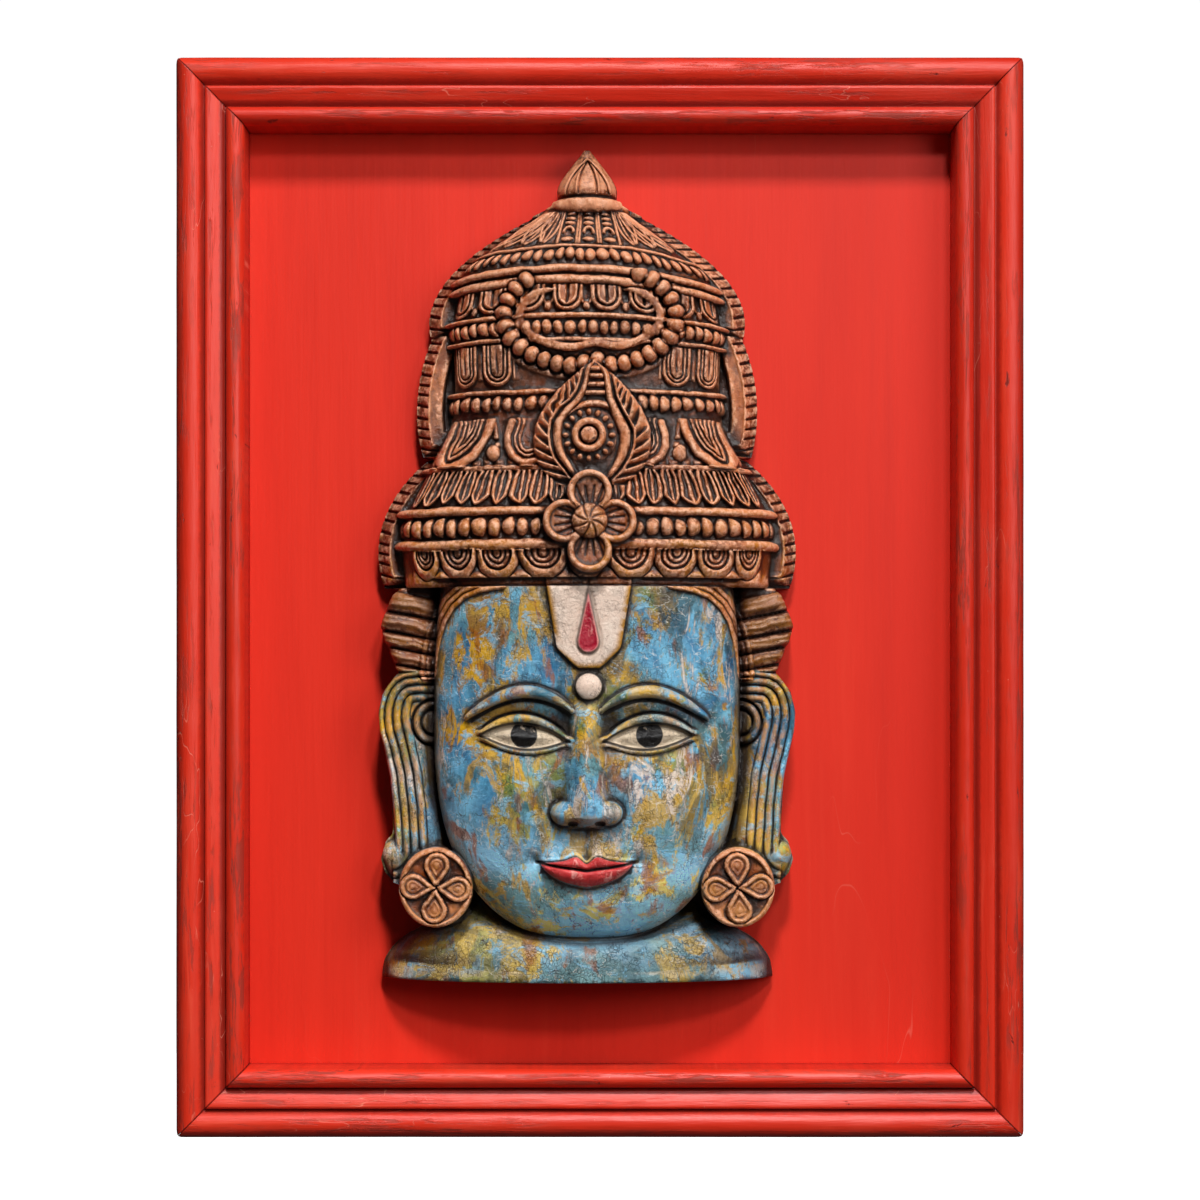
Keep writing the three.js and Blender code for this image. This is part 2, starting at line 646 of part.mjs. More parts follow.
function rails() {
  return [
    rail('frame_rail_bottom', FRAME_WIDTH, FRAME_HEIGHT / 2, 0),
    rail('frame_rail_right', FRAME_HEIGHT, FRAME_WIDTH / 2, Math.PI / 2),
    rail('frame_rail_top', FRAME_WIDTH, FRAME_HEIGHT / 2, Math.PI),
    rail('frame_rail_left', FRAME_HEIGHT, FRAME_WIDTH / 2, -Math.PI / 2),
  ];
}

function backBoard() {
  const inside = 2 * (RAIL_WIDTH - REBATE);
  const board = new THREE.BoxGeometry(FRAME_WIDTH - inside, FRAME_HEIGHT - inside, BOARD);
  const piece = named('back_board', board, BOARD_RED, 0.55);
  piece.position.z = BOARD / 2;
  return piece;
}

function named(name, geometry, color, roughness) {
  const piece = new THREE.Mesh(geometry, new THREE.MeshStandardMaterial({ color, roughness, metalness: 0 }));
  piece.name = name;
  return piece;
}

const relief = new THREE.Group();
relief.add(...rails(), backBoard(), mask());
relief.rotation.x = Math.PI / 2;

const framedMask = new THREE.Group();
framedMask.add(relief);

export default framedMask;
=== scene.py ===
import bpy
import math
import numpy as np
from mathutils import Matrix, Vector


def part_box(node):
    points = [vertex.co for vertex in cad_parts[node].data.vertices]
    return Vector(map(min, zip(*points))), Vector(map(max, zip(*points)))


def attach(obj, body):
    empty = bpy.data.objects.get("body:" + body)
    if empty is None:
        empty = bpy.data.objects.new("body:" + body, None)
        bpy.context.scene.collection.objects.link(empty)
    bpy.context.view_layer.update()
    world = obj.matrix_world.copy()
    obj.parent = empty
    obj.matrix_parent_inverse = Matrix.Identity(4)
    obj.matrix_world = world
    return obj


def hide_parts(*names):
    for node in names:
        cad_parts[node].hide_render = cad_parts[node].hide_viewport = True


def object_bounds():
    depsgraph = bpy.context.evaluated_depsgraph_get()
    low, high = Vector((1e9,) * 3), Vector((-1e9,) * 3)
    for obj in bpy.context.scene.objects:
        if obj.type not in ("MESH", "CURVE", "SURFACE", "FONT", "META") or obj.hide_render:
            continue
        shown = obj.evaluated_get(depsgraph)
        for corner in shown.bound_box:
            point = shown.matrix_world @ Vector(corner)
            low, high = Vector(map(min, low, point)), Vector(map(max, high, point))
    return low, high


# Looks of a carved and painted mask on a red board in a stepped red frame.
#
# The mask is one relief: its height off the wall is a function of x across and z up. Lengths are
# millimetres until a mesh is made. Heights are measured from the wall, so y = -height.

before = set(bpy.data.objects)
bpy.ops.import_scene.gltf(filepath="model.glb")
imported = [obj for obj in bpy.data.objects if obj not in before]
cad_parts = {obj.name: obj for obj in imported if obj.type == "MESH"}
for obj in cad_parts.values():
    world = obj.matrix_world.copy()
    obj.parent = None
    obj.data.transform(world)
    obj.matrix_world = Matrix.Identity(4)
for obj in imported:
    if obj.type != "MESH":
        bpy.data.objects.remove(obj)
cad_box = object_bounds()

MM = 0.001
mask_low, mask_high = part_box("mask")
board_low, board_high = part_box("back_board")
rail_low, rail_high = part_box("frame_rail_bottom")

# Sizes read from the frame
BASE = mask_low.z / MM + 2.5
TIP = mask_high.z / MM + 3.5
MIDDLE = (mask_low.x + mask_high.x) / 2 / MM
MASK_BACK = -mask_high.y / MM
MASK_FRONT = -mask_low.y / MM
FRAME_WIDTH = (cad_box[1][0] - cad_box[0][0]) / MM
FRAME_HEIGHT = (cad_box[1][2] - cad_box[0][2]) / MM
RAIL_WIDTH = (rail_high.z - rail_low.z) / MM
REBATE = RAIL_WIDTH - (FRAME_WIDTH - (board_high.x - board_low.x) / MM) / 2

# Grid of the mask's front: its size, the columns kept for each edge, the rows over which the line
# inside an edge is calm, and how far the mesh is thinned
COLUMNS = 520
ROWS = 900
EDGE_COLUMNS = 26
CALM_ROWS = 12
MASK_TRIANGLES = 192000

# Crown: an ellipse in plan. Its axis is this high off the wall, and its depth is a share of its
# half width. CROWN_BODY is height and half width. DROOP and TILT say how far the rows of carving
# sink with the square of x, and with x, at each height
CROWN_FOOT = 7.0
CROWN_AXIS = 30.0
CROWN_DEPTH = 0.43
DROOP = [(150, 0), (192, 0.0003), (227, 0.0010), (244, 0.0012), (252, 0.0014)]
TILT = [(150, 0), (200, 0.02), (230, 0.034)]
CROWN_BODY = [
    (0, 131), (8, 133.5), (31, 136), (62, 133), (89, 118), (127, 99.5), (150, 97), (179, 98),
    (201, 99), (239, 93), (252, 81), (262, 66), (273, 49), (284, 30),
]
# Rows of petals round the crown: the height of their tops, and how far apart they are
SCALLOP_TOP = 33.2
FRINGE_TOP = 90.0
FRINGE_PITCH = 13.8
RECESS_TOP = 181.4
RECESS_PITCH = 28.0
UPPER_TOP = 223.4
UPPER_PITCH = 29.0
# Plain rolls round the crown: middle height, half height, how far they stand out
ROLLS = [
    (36.6, 3.9, 6.2), (60.4, 3.4, 7.0), (91.8, 2.0, 4.6), (146.8, 1.9, 5.4), (184.0, 1.7, 5.2),
    (201.4, 2.2, 6.2), (227.2, 3.6, 7.0), (235.4, 3.2, 6.8), (253.4, 1.4, 3.8),
]
# Beads round the crown: middle height, the crown's half width there, pitch, a bead's half width
# and half height, and how far it stands out
BEADS = [
    (49.0, 136, 10.3, 5.0, 6.6, 7.0), (138.8, 98.5, 8.6, 4.3, 5.6, 6.4),
    (193.0, 101, 8.0, 4.0, 5.6, 6.6), (246.6, 83, 7.4, 3.5, 4.6, 6.0),
]
# Hanging petals of the brim: their edges along the surface. Curled leaves of the cone: outlines
# as distance from the middle and height
SCALLOP_EDGES = [-136, -110.5, -80.5, -49.5, -14, 14, 49.5, 80.5, 110.5, 136]
BIG_LEAF = [
    (69, 127), (71, 119), (74, 113), (81, 103), (90, 96), (98, 92.6), (103.6, 93), (106.6, 97),
    (106.4, 103), (103, 111.5), (99.5, 119), (98, 126),
]
INNER_LEAF = [(36, 97), (40.5, 95.8), (46.4, 95.5), (53, 100), (56.4, 107.4), (56.4, 115), (53.5, 125)]

# Flange behind the crown: three lobes, each with its foot, top and the curve of its half width
LOBES = [
    (CROWN_FOOT, 101.5, lambda z: 154 * np.sqrt(np.clip(1 - ((z - 33) / 105) ** 2, 0, 1))),
    (103.5, 192.0, lambda z: 125.5 * np.sqrt(np.clip(1 - ((z - 137) / 130) ** 2, 0, 1))),
    (190.0, 287.5, lambda z: 116.5 * (1 - ((z - 201.5) / 97) ** 2)),
]
FLANGE_FRONT = 34.0
TOOTH_PITCH = 8.0

# Bud at the top: height and half width
BUD = [
    (280, 22.0), (282, 24.6), (285, 26.0), (289, 25.6), (291.4, 21.8), (293.4, 21.4), (297.4, 22.2),
    (301, 21.4), (306, 18.8), (310.5, 15.8), (314.7, 12.6), (321.3, 7.4), (325.2, 4.4), (327.4, 2.8),
    (TIP, 1.4),
]

# Crest on the crown's front. Each list is height over the middle of its disc and distance to the
# left or right: its outline, the middle of its raised band, and the band's half width
CREST_X = 1.6
CREST_LEFT = [
    (-34, 23), (-30.6, 26.6), (-27, 31.9), (-20, 36.6), (-11, 38.9), (-4, 39.8), (6.5, 38.6),
    (15.9, 34.8), (25.9, 28.4), (34.7, 20.7), (44.7, 9.5), (50.6, 0.7), (53, -4.5),
]
CREST_RIGHT = [
    (-34, 27), (-30.6, 31.6), (-24, 38), (-17, 42.2), (-7, 44.3), (3.5, 44.3), (12.4, 41.6),
    (21.8, 36.4), (32.4, 28.7), (40.6, 21.6), (48, 12), (51, 6.6), (53, 4.5),
]
BAND_LEFT = [
    (-32, 8), (-22.4, 14.2), (-15.9, 18.9), (-8.2, 21.6), (0, 22.5), (9.4, 21.3), (17.1, 16),
    (24.1, 8.4), (31.2, 4.2), (38.8, 1.9), (46, 1.0), (53, -2.5),
]
BAND_RIGHT = [
    (-32, 12), (-22.9, 19.3), (-14.7, 23.4), (-5.9, 25.8), (1.8, 25.8), (9.4, 22.2), (18.2, 18.1),
    (26.5, 14.8), (35.9, 13.4), (42.9, 12.4), (50, 8.5), (53, 7),
]
BAND_HALF = [(-32, 1.2), (-22, 2.0), (-12, 3.0), (6, 3.4), (18, 2.6), (34, 1.9), (50, 1.2)]
DISC_Z = 114.2
RUNGS = [22.6, 30.2, 36.2, 42.2, 47.6]

# Flower under the crest
FLOWER_X = 2.2
FLOWER_Z = 52.4
FLOWER_FRONT = 97.0

# String of beads on the crown: part of an ellipse from one turn to another, in degrees, with a
# small peak at its top
STRING_X = 2.2
STRING_Z = 201.4
STRING_HALF = (62.4, 37.4)
STRING_BEADS = 25
STRING_PEAK = 5.3
STRING_FROM = 137.0
STRING_TO = 415.0

# Face: thirds of equal height from hairline to chin, as in a drawing book. EDGE_REACH is how
# many millimetres face_edge takes near the outline to grow by 1
CHIN = -251.0
FACE_TOP = 14.0
FACE_HALF = 112.0
FACE_BACK = 38.0
FACE_DEPTH = 50.0
FACE_WIDEST = -95.0
EDGE_REACH = 46.0
THIRD = (FACE_TOP - CHIN) / 3
BROW = FACE_TOP - THIRD
NOSE_FOOT = BROW - THIRD
MOUTH = NOSE_FOOT - THIRD * 0.37
EYE_LEVEL = BROW - THIRD * 0.3
EYE_APART = 2 * FACE_HALF / 5
EYE_HALF = EYE_APART / 2 + 8

# Forehead mark with its stud and drop
MARK_X = 1.5
MARK_HALF = 30.5
MARK_SHOULDER = -40.0
MARK_TIP = -52.0
STUD_Z = -65.0
STUD_RADIUS = 9.8
DROP_TOP = 2.4
DROP_FOOT = -40.8

# Hair at the sides, ears, earrings and neck. SIDE_OUTLINE and NECK are height and half width,
# EAR_PATH and HAIRLINE are distance from the middle and height, EAR_GROOVES are depths inside the
# ear's curve, HAIR_ROLLS are from and to a height, and EARRING is its middle and two half sizes
SIDE_OUTLINE = [
    (-216, 100), (-208.6, 140.5), (-201, 147.8), (-191, 150.8), (-178, 147), (-173, 142.2),
    (-170, 141.6), (-150, 142.7), (-131, 144), (-113, 147.5), (-98, 151), (-83.5, 152),
    (-69, 148.6), (-59, 141), (-54.4, 137.4), (-52.6, 139.4), (-46.8, 141.6), (-36.6, 145.2),
    (-34.3, 147.2), (-25.6, 149.6), (-21.8, 151), (-10.7, 147.4), (1.8, 142), (6, 138),
]
EAR_PATH = [
    (96, -55.5), (112, -54.2), (124, -53.6), (134, -55), (141, -59), (146.4, -65), (149.6, -72),
    (151.6, -80), (152, -88), (151, -98), (147.5, -113), (144, -131), (142.7, -150), (141.6, -170),
    (141.4, -186),
]
EAR_GROOVES = [4.2, 10.2, 16.6, 22.8]
EAR_BOWL = (112.0, -91.5)
LOBE_CURL = (138.0, -187.0)
HAIR_FRONT = 37.5
HAIR_ROLLS = [(-58, -48), (-48, -36.4), (-36.4, -25), (-25, -10.4), (-10.4, 5)]
EARRING = (109.6, -211.0, 26.8, 29.2)
EARRING_FRONT = 60.0
NECK_X = -7.3
NECK_DEPTH = 0.35
NECK = [
    (BASE, 144.5), (BASE + 3, 144.5), (-266, 142.6), (-257, 136.5), (-251, 130), (-246.5, 122.5),
    (-241, 112), (-236, 101), (-230, 93), (-212, 86), (-172, 86),
]
HAIRLINE = [
    (62, 10.5), (78, 8), (90, 3.5), (100, -5), (107, -16), (111.5, -29), (114.5, -42), (116, -56),
]


# Shaping functions on whole arrays

def smooth(t):
    """0 below 0, 1 above 1, and three t squared less two t cubed between."""
    t = np.clip(t, 0.0, 1.0)
    return t * t * (3 - 2 * t)


def inside(depth, soft=1.4):
    """1 inside an outline and 0 outside, passing through a half at depth 0 over a soft edge."""
    return smooth(depth / soft + 0.5)


def arch(distance, half):
    """A half round: the root of one less the square of distance over half, and 0 outside it."""
    return np.sqrt(np.clip(1 - (distance / half) ** 2, 0.0, 1.0))


def cut(distance, half):
    """A narrow groove or mound: e to the minus square of distance over half."""
    return np.exp(-((distance / half) ** 2))


def higher(a, b, soft=1.0):
    """The greater of two heights, rounded where they cross: half of their sum plus the root of
    the square of their difference and the square of soft."""
    return 0.5 * (a + b + np.sqrt((a - b) ** 2 + soft ** 2))


def highest(*heights):
    """The greatest of several heights."""
    return np.maximum.reduce(heights)


def lay(ground, shape, depth, soft=1.4):
    """ground outside an outline and shape inside it."""
    return ground + (shape - ground) * inside(depth, soft)


def along(table, at):
    """A value read from a list of (place, value) pairs, in straight runs between them."""
    places, values = np.array(sorted(table)).T
    return np.interp(at, places, values)


def rounded(table, at, spread=1.2):
    """A list of (place, value) pairs read with its corners rounded by a bell of that spread."""
    places = np.array(sorted(table))[:, 0]
    fine = np.arange(places[0] - 4 * spread, places[-1] + 4 * spread, 0.25)
    reach = np.arange(-4 * spread, 4 * spread + 0.25, 0.25)
    bell = np.exp(-0.5 * (reach / spread) ** 2)
    value = np.convolve(along(table, fine), bell / bell.sum(), mode="same")
    edge = len(reach) // 2
    value[:edge] = value[edge]
    value[-edge:] = value[-edge - 1]
    return np.interp(at, fine, value)


def steepness(table, at):
    """The cosine of an outline's slope at a height: one over the root of one plus slope squared."""
    slope = rounded(table, at + 0.5) - rounded(table, at - 0.5)
    return 1 / np.sqrt(1 + slope ** 2)


def nearest(s, pitch, phase=0.0):
    """Signed distance along a row from the nearest of places that are a pitch apart."""
    return (s - phase + pitch / 2) % pitch - pitch / 2


def lumps(a, b, size, seed):
    """Smooth random values from -1 to 1: a seeded lattice of that size, blended between points."""
    lattice = np.random.default_rng(seed).uniform(-1, 1, (64, 64))
    i, j = np.floor(a / size), np.floor(b / size)
    u, v = smooth(a / size - i), smooth(b / size - j)
    i, j = i.astype(int) % 64, j.astype(int) % 64
    k, m = (i + 1) % 64, (j + 1) % 64
    low = lattice[i, j] * (1 - u) + lattice[k, j] * u
    high = lattice[i, m] * (1 - u) + lattice[k, m] * u
    return low * (1 - v) + high * v


def tear_drop(p, q, length, radius):
    """Depth inside a tear drop with its point at the origin: distance to its straight sides near
    the point, and to its round end past where they touch it."""
    centre = length - radius
    lean = math.asin(radius / centre)
    past = q * math.cos(lean) + np.abs(p) * math.sin(lean) > centre * math.cos(lean)
    sides = q * math.sin(lean) - np.abs(p) * math.cos(lean)
    return np.where(past, radius - np.hypot(p, q - centre), sides)


def to_path(x, z, points):
    """Distance to a bent line and length along it to the nearest point, from the least distance
    over its straight pieces. The distance is positive on the line's left."""
    best = np.full(x.shape, 1e9)
    run = np.zeros(x.shape)
    side = np.ones(x.shape)
    start = 0.0
    for (x0, z0), (x1, z1) in zip(points[:-1], points[1:]):
        dx, dz = x1 - x0, z1 - z0
        length = math.hypot(dx, dz)
        share = np.clip(((x - x0) * dx + (z - z0) * dz) / length ** 2, 0, 1)
        gap = np.hypot(x - x0 - share * dx, z - z0 - share * dz)
        closer = gap < best
        best = np.where(closer, gap, best)
        run = np.where(closer, start + share * length, run)
        side = np.where(closer, np.sign(dx * (z - z0) - dz * (x - x0)), side)
        start += length
    return best * side, run


def blur(values, spread):
    """A grid averaged by a bell of that many cells, first down the columns and then the rows."""
    reach = int(3 * spread + 1)
    bell = np.exp(-0.5 * (np.arange(-reach, reach + 1) / spread) ** 2)
    bell /= bell.sum()
    for axis in (0, 1):
        pad = [(reach, reach) if a == axis else (0, 0) for a in (0, 1)]
        wide = np.pad(values, pad, mode="edge")
        total = np.zeros_like(values)
        for k, weight in enumerate(bell):
            rows = slice(k, k + values.shape[0]) if axis == 0 else slice(None)
            cols = slice(k, k + values.shape[1]) if axis == 1 else slice(None)
            total += weight * wide[rows, cols]
        values = total
    return values


# Carved ornaments of the crown, as relief along its surface

ARC_TURNS = np.linspace(0, math.pi / 2, 200)
ARC_LENGTHS = np.concatenate([[0], np.cumsum(np.diff(ARC_TURNS) * np.sqrt(
    np.cos(ARC_TURNS[1:]) ** 2 + (CROWN_DEPTH * np.sin(ARC_TURNS[1:])) ** 2))])


def round_crown(turn, half_width):
    """Length along the crown's ellipse from its front to a turn."""
    return half_width * np.sign(turn) * np.interp(np.abs(turn), ARC_TURNS, ARC_LENGTHS)


def hanging(p, q, width, height):
    """Depth inside a hanging petal with straight sides and a round foot. p is across from its
    middle and q down from its top: half the width less the distance to its middle line."""
    r = width / 2
    return r - np.hypot(p, np.maximum(q - (height - r), 0))


def petals_between(s, edges):
    """Which of a row of petals each place is in, from the row's edges: the distance from that
    petal's middle, and its half width."""
    edges = np.array(edges, float)
    index = np.clip(np.searchsorted(edges, s) - 1, 0, len(edges) - 2)
    return s - (edges[index] + edges[index + 1]) / 2, (edges[index + 1] - edges[index]) / 2


def scallops(s, z):
    """A row of hanging petals: a broad rim that rises inwards, and thin rings in its hollow."""
    p, half = petals_between(s, SCALLOP_EDGES)
    p = p * 17 / half
    q = SCALLOP_TOP - z
    depth = 17.0 - np.hypot(p, np.maximum(q - 5.0, 0))
    inner = 12.4 - np.hypot(p, np.maximum(q - 3.0, 0))
    share = np.clip(depth / np.maximum(depth - inner, 0.5), 0, 1)
    rim = (3.0 + 4.0 * share ** 0.8) * inside(depth, 1.0) * inside(-inner, 0.8)
    rings = highest(
        3.0 * arch(inner - 3.0, 1.7), 2.6 * arch(inner - 6.8, 1.6), 2.4 * inside(inner - 9.6, 0.8),
    ) * inside(inner - 0.6, 0.8)
    between = 2.6 * inside(-depth - 0.7, 1.0) * smooth((q - 12) / 6)
    shown = inside(q, 0.8) * inside(137 - np.abs(s), 2)
    return highest(rim, rings, between) * shown


def bead_row(s, z, middle, pitch, half_width, half_height, out):
    """Beads side by side, a little uneven: the root of one less the squares of the two distances
    from the nearest bead's middle, cut off where the beads meet."""
    s = s + 0.9 * np.sin(0.11 * s + middle) + 0.4 * np.sin(0.37 * s)
    size = 1 + 0.10 * np.sin(12.9 * np.round(s / pitch - 0.5) + middle)
    p = nearest(s, pitch, pitch / 2) / (half_width * size)
    q = (z - middle + 0.6 * np.sin(0.23 * s + middle)) / (half_height * size)
    return (out + 1.0) * size * arch(np.hypot(p, q), 1.0) ** 0.9


def leaf_fringe(s, z):
    """Narrow leaves with raised rims, round sided and pointed at the foot, a fine rib down each."""
    s = s + 0.9 * np.sin(0.09 * s + 2) + 0.05 * (88 - z) * np.sin(0.3 * s)
    p = nearest(s, FRINGE_PITCH, FRINGE_PITCH / 2)
    q = FRINGE_TOP - z
    half = 6.7 * np.clip((24.8 - q) / 6.5, 0, 1) ** 0.55 * (0.78 + 0.22 * smooth((q + 1) / 7))
    depth = half - np.abs(p)
    leaf = highest(
        6.6 * arch(depth - 1.6, 1.7), 5.0 * arch(p, 1.6) * inside(depth - 1.4), 1.4 * inside(depth),
    )
    return leaf * inside(q, 0.8) * inside(25.0 - q, 0.8)


def cone_leaves(side, z):
    """Two big curled leaves on each side of the cone, ribbed inside, with a bud between them."""
    gap, _ = to_path(side, z, BIG_LEAF)
    leaf = np.maximum(7.4 * arch(gap, 3.7) ** 0.8, 1.6 * inside(gap, 1.5))
    for rib in (6.4, 9.6, 12.6):
        leaf = np.maximum(leaf, 5.2 * arch(gap - rib, 1.35))
    near, _ = to_path(side, z, INNER_LEAF)
    inner = np.maximum(6.6 * arch(near, 3.0) ** 0.8, 1.6 * inside(near, 1.5) * inside(60 - side))
    for rib in (5.4, 8.4):
        inner = np.maximum(inner, 4.8 * arch(near - rib, 1.2))
    bud = 7.0 * arch(np.hypot((side - 66.6) / 5.2, (z - 102.2) / 6.8), 1.0)
    slot = 5.0 * cut(side - 65.5, 3.2) * cut(z - 111.5, 1.3)
    stem = 3.4 * arch(side - 64.6 - 0.16 * (z - 112), 2.1) * inside(z - 107) * inside(126 - z)
    low = 3.0 * arch(nearest(side, 8.6, 2), 3.4) * cut(z - 95.2, 2.6) * inside(-gap - 4, 1)
    outer = 4.6 * arch(nearest(side - 0.5 * (z - 92), 7.0), 2.6) * inside(side - 109) * inside(124 - z)
    out = highest(leaf, inner, bud, stem, low, outer)
    return (out - slot) * inside(z - 92.6, 0.8) * inside(128.2 - z, 1.2)


def recess_petals(s, z):
    """Tall petals in the recess, only where the crest leaves them clear, with a slit heart."""
    p = nearest(np.abs(s), RECESS_PITCH, 11.0)
    q = RECESS_TOP - z
    depth = hanging(p, q, 22.5, 30)
    petal = highest(
        4.8 * arch(depth - 1.3, 1.5), 4.0 * arch(depth - 4.6, 1.1), 0.8 * inside(depth),
        3.8 * inside(depth - 6.6, 1.2) - 2.2 * cut(p, 0.8) * cut(q - 13, 8),
    )
    filler = 2.0 * arch(nearest(np.abs(s), RECESS_PITCH, 25.0), 2.2) * smooth(q / 12) * inside(25 - q)
    clear = inside(np.abs(s) - 53, 1.5) * inside(110 - np.abs(s), 2)
    return np.maximum(petal, filler) * clear * inside(q, 0.8) * inside(31 - q, 1.0)


def upper_petals(s, z):
    """The upper row of petals, a rim round a broad split heart, with a small horned bud between."""
    p = nearest(s, UPPER_PITCH, UPPER_PITCH / 2)
    q = UPPER_TOP - z
    between = nearest(s, UPPER_PITCH)
    depth = 11.8 - np.hypot(p, np.maximum(q - 7.0, 0))
    heart = 4.4 * inside(depth - 4.4, 0.9) + 1.2 * arch(depth - 5.6, 1.2)
    heart = heart - 3.6 * cut(p, 1.0) * inside(depth - 5.8, 1.5)
    petal = highest(5.4 * arch(depth - 1.6, 1.8), heart, 0.7 * inside(depth))
    bud = 3.8 * arch(np.hypot(between / 2.8, (q - 15.0) / 3.8), 1.0)
    horns = 3.0 * arch(np.abs(between) - 4.5 + (q - 7) * 0.35, 1.3) * inside(13 - q)
    return highest(petal, bud, horns) * inside(q, 0.8) * inside(20 - q, 0.8)


def crown_swell(z):
    """How far the plain rolls and half of each row of beads stand out all round the crown."""
    out = np.zeros(z.shape)
    for middle, half, rise in ROLLS:
        out = np.maximum(out, rise * arch(z - middle, half) ** 0.8)
    for middle, _, _, _, tall, rise in BEADS:
        out = np.maximum(out, 0.5 * rise * arch(z - middle, tall))
    return out


def crown_carving(turn, side, z):
    """The finer carving that is added to the crown's front."""
    out = np.zeros(z.shape)
    for low, high, half_width, carving in [
        (7, 35, 137, scallops), (63, 92, 126, leaf_fringe), (149, 183, 99, recess_petals),
        (199, 225, 101, upper_petals),
    ]:
        rows = band_of(z, low - 24, high + 24)
        out[rows] = np.maximum(out[rows], carving(round_crown(turn[rows], half_width), z[rows]))
    rows = band_of(z, 72, 130)
    out[rows] = np.maximum(out[rows], cone_leaves(side[rows], z[rows]))
    for middle, half_width, pitch, wide, tall, rise in BEADS:
        rows = band_of(z, middle - 24, middle + tall + 24)
        s = round_crown(turn[rows], half_width)
        bead = bead_row(s, z[rows], middle, pitch, wide, tall, rise)
        out[rows] += bead - 0.5 * rise * arch(z[rows] - middle, tall)
    return out


def crown_body(ground, x, z):
    """The crown's height: an ellipse in plan that grows with its rolls, then the finer carving,
    fading out where the ellipse turns away from the front."""
    wander = 1.3 * lumps(x, z, 17, 3) + 0.8 * lumps(x, z, 6, 4)
    level = z + along(DROOP, z) * x ** 2 + along(TILT, z) * x + 0.5 * wander
    swell = crown_swell(level)
    half = rounded(CROWN_BODY, level, 2.0)
    turn = np.arcsin(np.clip(x / (half + swell), -1, 1))
    carving = crown_carving(turn + 0.006 * wander, np.abs(x) + 0.5 * wander, level)
    fade = smooth((1.46 - np.abs(turn)) / 0.26)
    height = CROWN_AXIS + (CROWN_DEPTH * half + swell) * np.cos(turn) + carving * fade
    within = (np.abs(x) < half + swell) & (z >= CROWN_FOOT)
    return higher(ground, np.where(within, height, 0.0), 0.5)


def dome_relief(ground, x, z):
    """Three columns of stacked beads, each with an arch near its foot, between ribs in the middle,
    and pointed loops that spread from the collar at the sides."""
    level = z + 0.0010 * x ** 2 + 0.02 * x + 0.4 * lumps(x, z, 8, 6)
    spread = (353 - level) / 98
    p = (x - 1.2) / spread
    out = np.zeros(np.shape(x))
    for place in (-16, 0, 16):
        for at, tall in [(279.0, 1.6), (275.2, 1.7), (271.4, 1.7), (258.4, 2.1)]:
            bead = 4.2 * arch(np.hypot((p - place) / 4.8, (level - at) / tall), 1.0)
            out = np.maximum(out, bead)
        bow = np.hypot((p - place) / 4.8, (level - 264.6) / 4.4)
        out = np.maximum(out, 4.2 * arch(bow - 0.78, 0.28) * inside(level - 263.4))
        for edge in (-7.0, 7.0):
            out = np.maximum(out, 3.4 * arch(p - place - edge, 1.3))
    side = np.abs(x - 1.2)
    out *= inside(25.5 * spread - side, 1.4)
    for k in range(5):
        axis = [(20 + 2.5 * k, 284 - 1.6 * k), (34 + 14.5 * k, 256 + 0.8 * k)]
        gap, run = to_path(side, level, axis)
        share = run / math.hypot(axis[1][0] - axis[0][0], axis[1][1] - axis[0][1])
        half = 5.4 * np.sin(math.pi * np.clip(0.06 + 0.9 * share, 0, 1)) ** 0.8
        rim, heart = arch(np.abs(gap) - half, 1.1), arch(np.abs(gap) - 0.4 * half, 0.9)
        shown = (share > 0.02) * (share < 0.98) * inside(side - 24 * spread, 2)
        out = np.maximum(out, np.maximum(2.8 * rim, 2.0 * heart) * shown)
    shown = inside(level - 254.6, 1.0) * inside(281.6 - z, 1.4)
    return ground + out * shown * inside(ground - 36, 2)


def finial(ground, x, z):
    """The bud and its collar: a round body whose half width follows a list, with the edges of its
    petals as rims beside grooves that run together at the tip."""
    half = rounded(BUD, z, 0.7)
    body = CROWN_AXIS + 2 + 0.85 * np.sqrt(np.clip(half ** 2 - x ** 2, 0, None))
    rise = np.clip((z - 293) / 27, 0, 1)
    side = np.abs(x - 0.4)
    lines = np.zeros(np.shape(x))
    for foot, swell, size in [(7.0, 0.8, 2.0), (15.6, 0.5, 1.8)]:
        edge = foot * (1 - rise ** 1.7) + swell * 4 * rise * (1 - rise)
        lines += size * arch(side - edge - 1.2, 1.1) - size * cut(side - edge + 0.4, 0.7)
    lines *= inside(z - 294, 0.8) * inside(320 - z, 3) * inside(half - np.abs(x) - 1)
    rope = 0.8 * np.sin(x / 2.1 + 0.5 * np.sin(x)) * cut(z - 287.4, 3)
    waist = 3.4 * cut(z - 292.0, 1.2)
    return np.maximum(ground, np.where(z > 280, body + lines + rope - waist, 0.0))


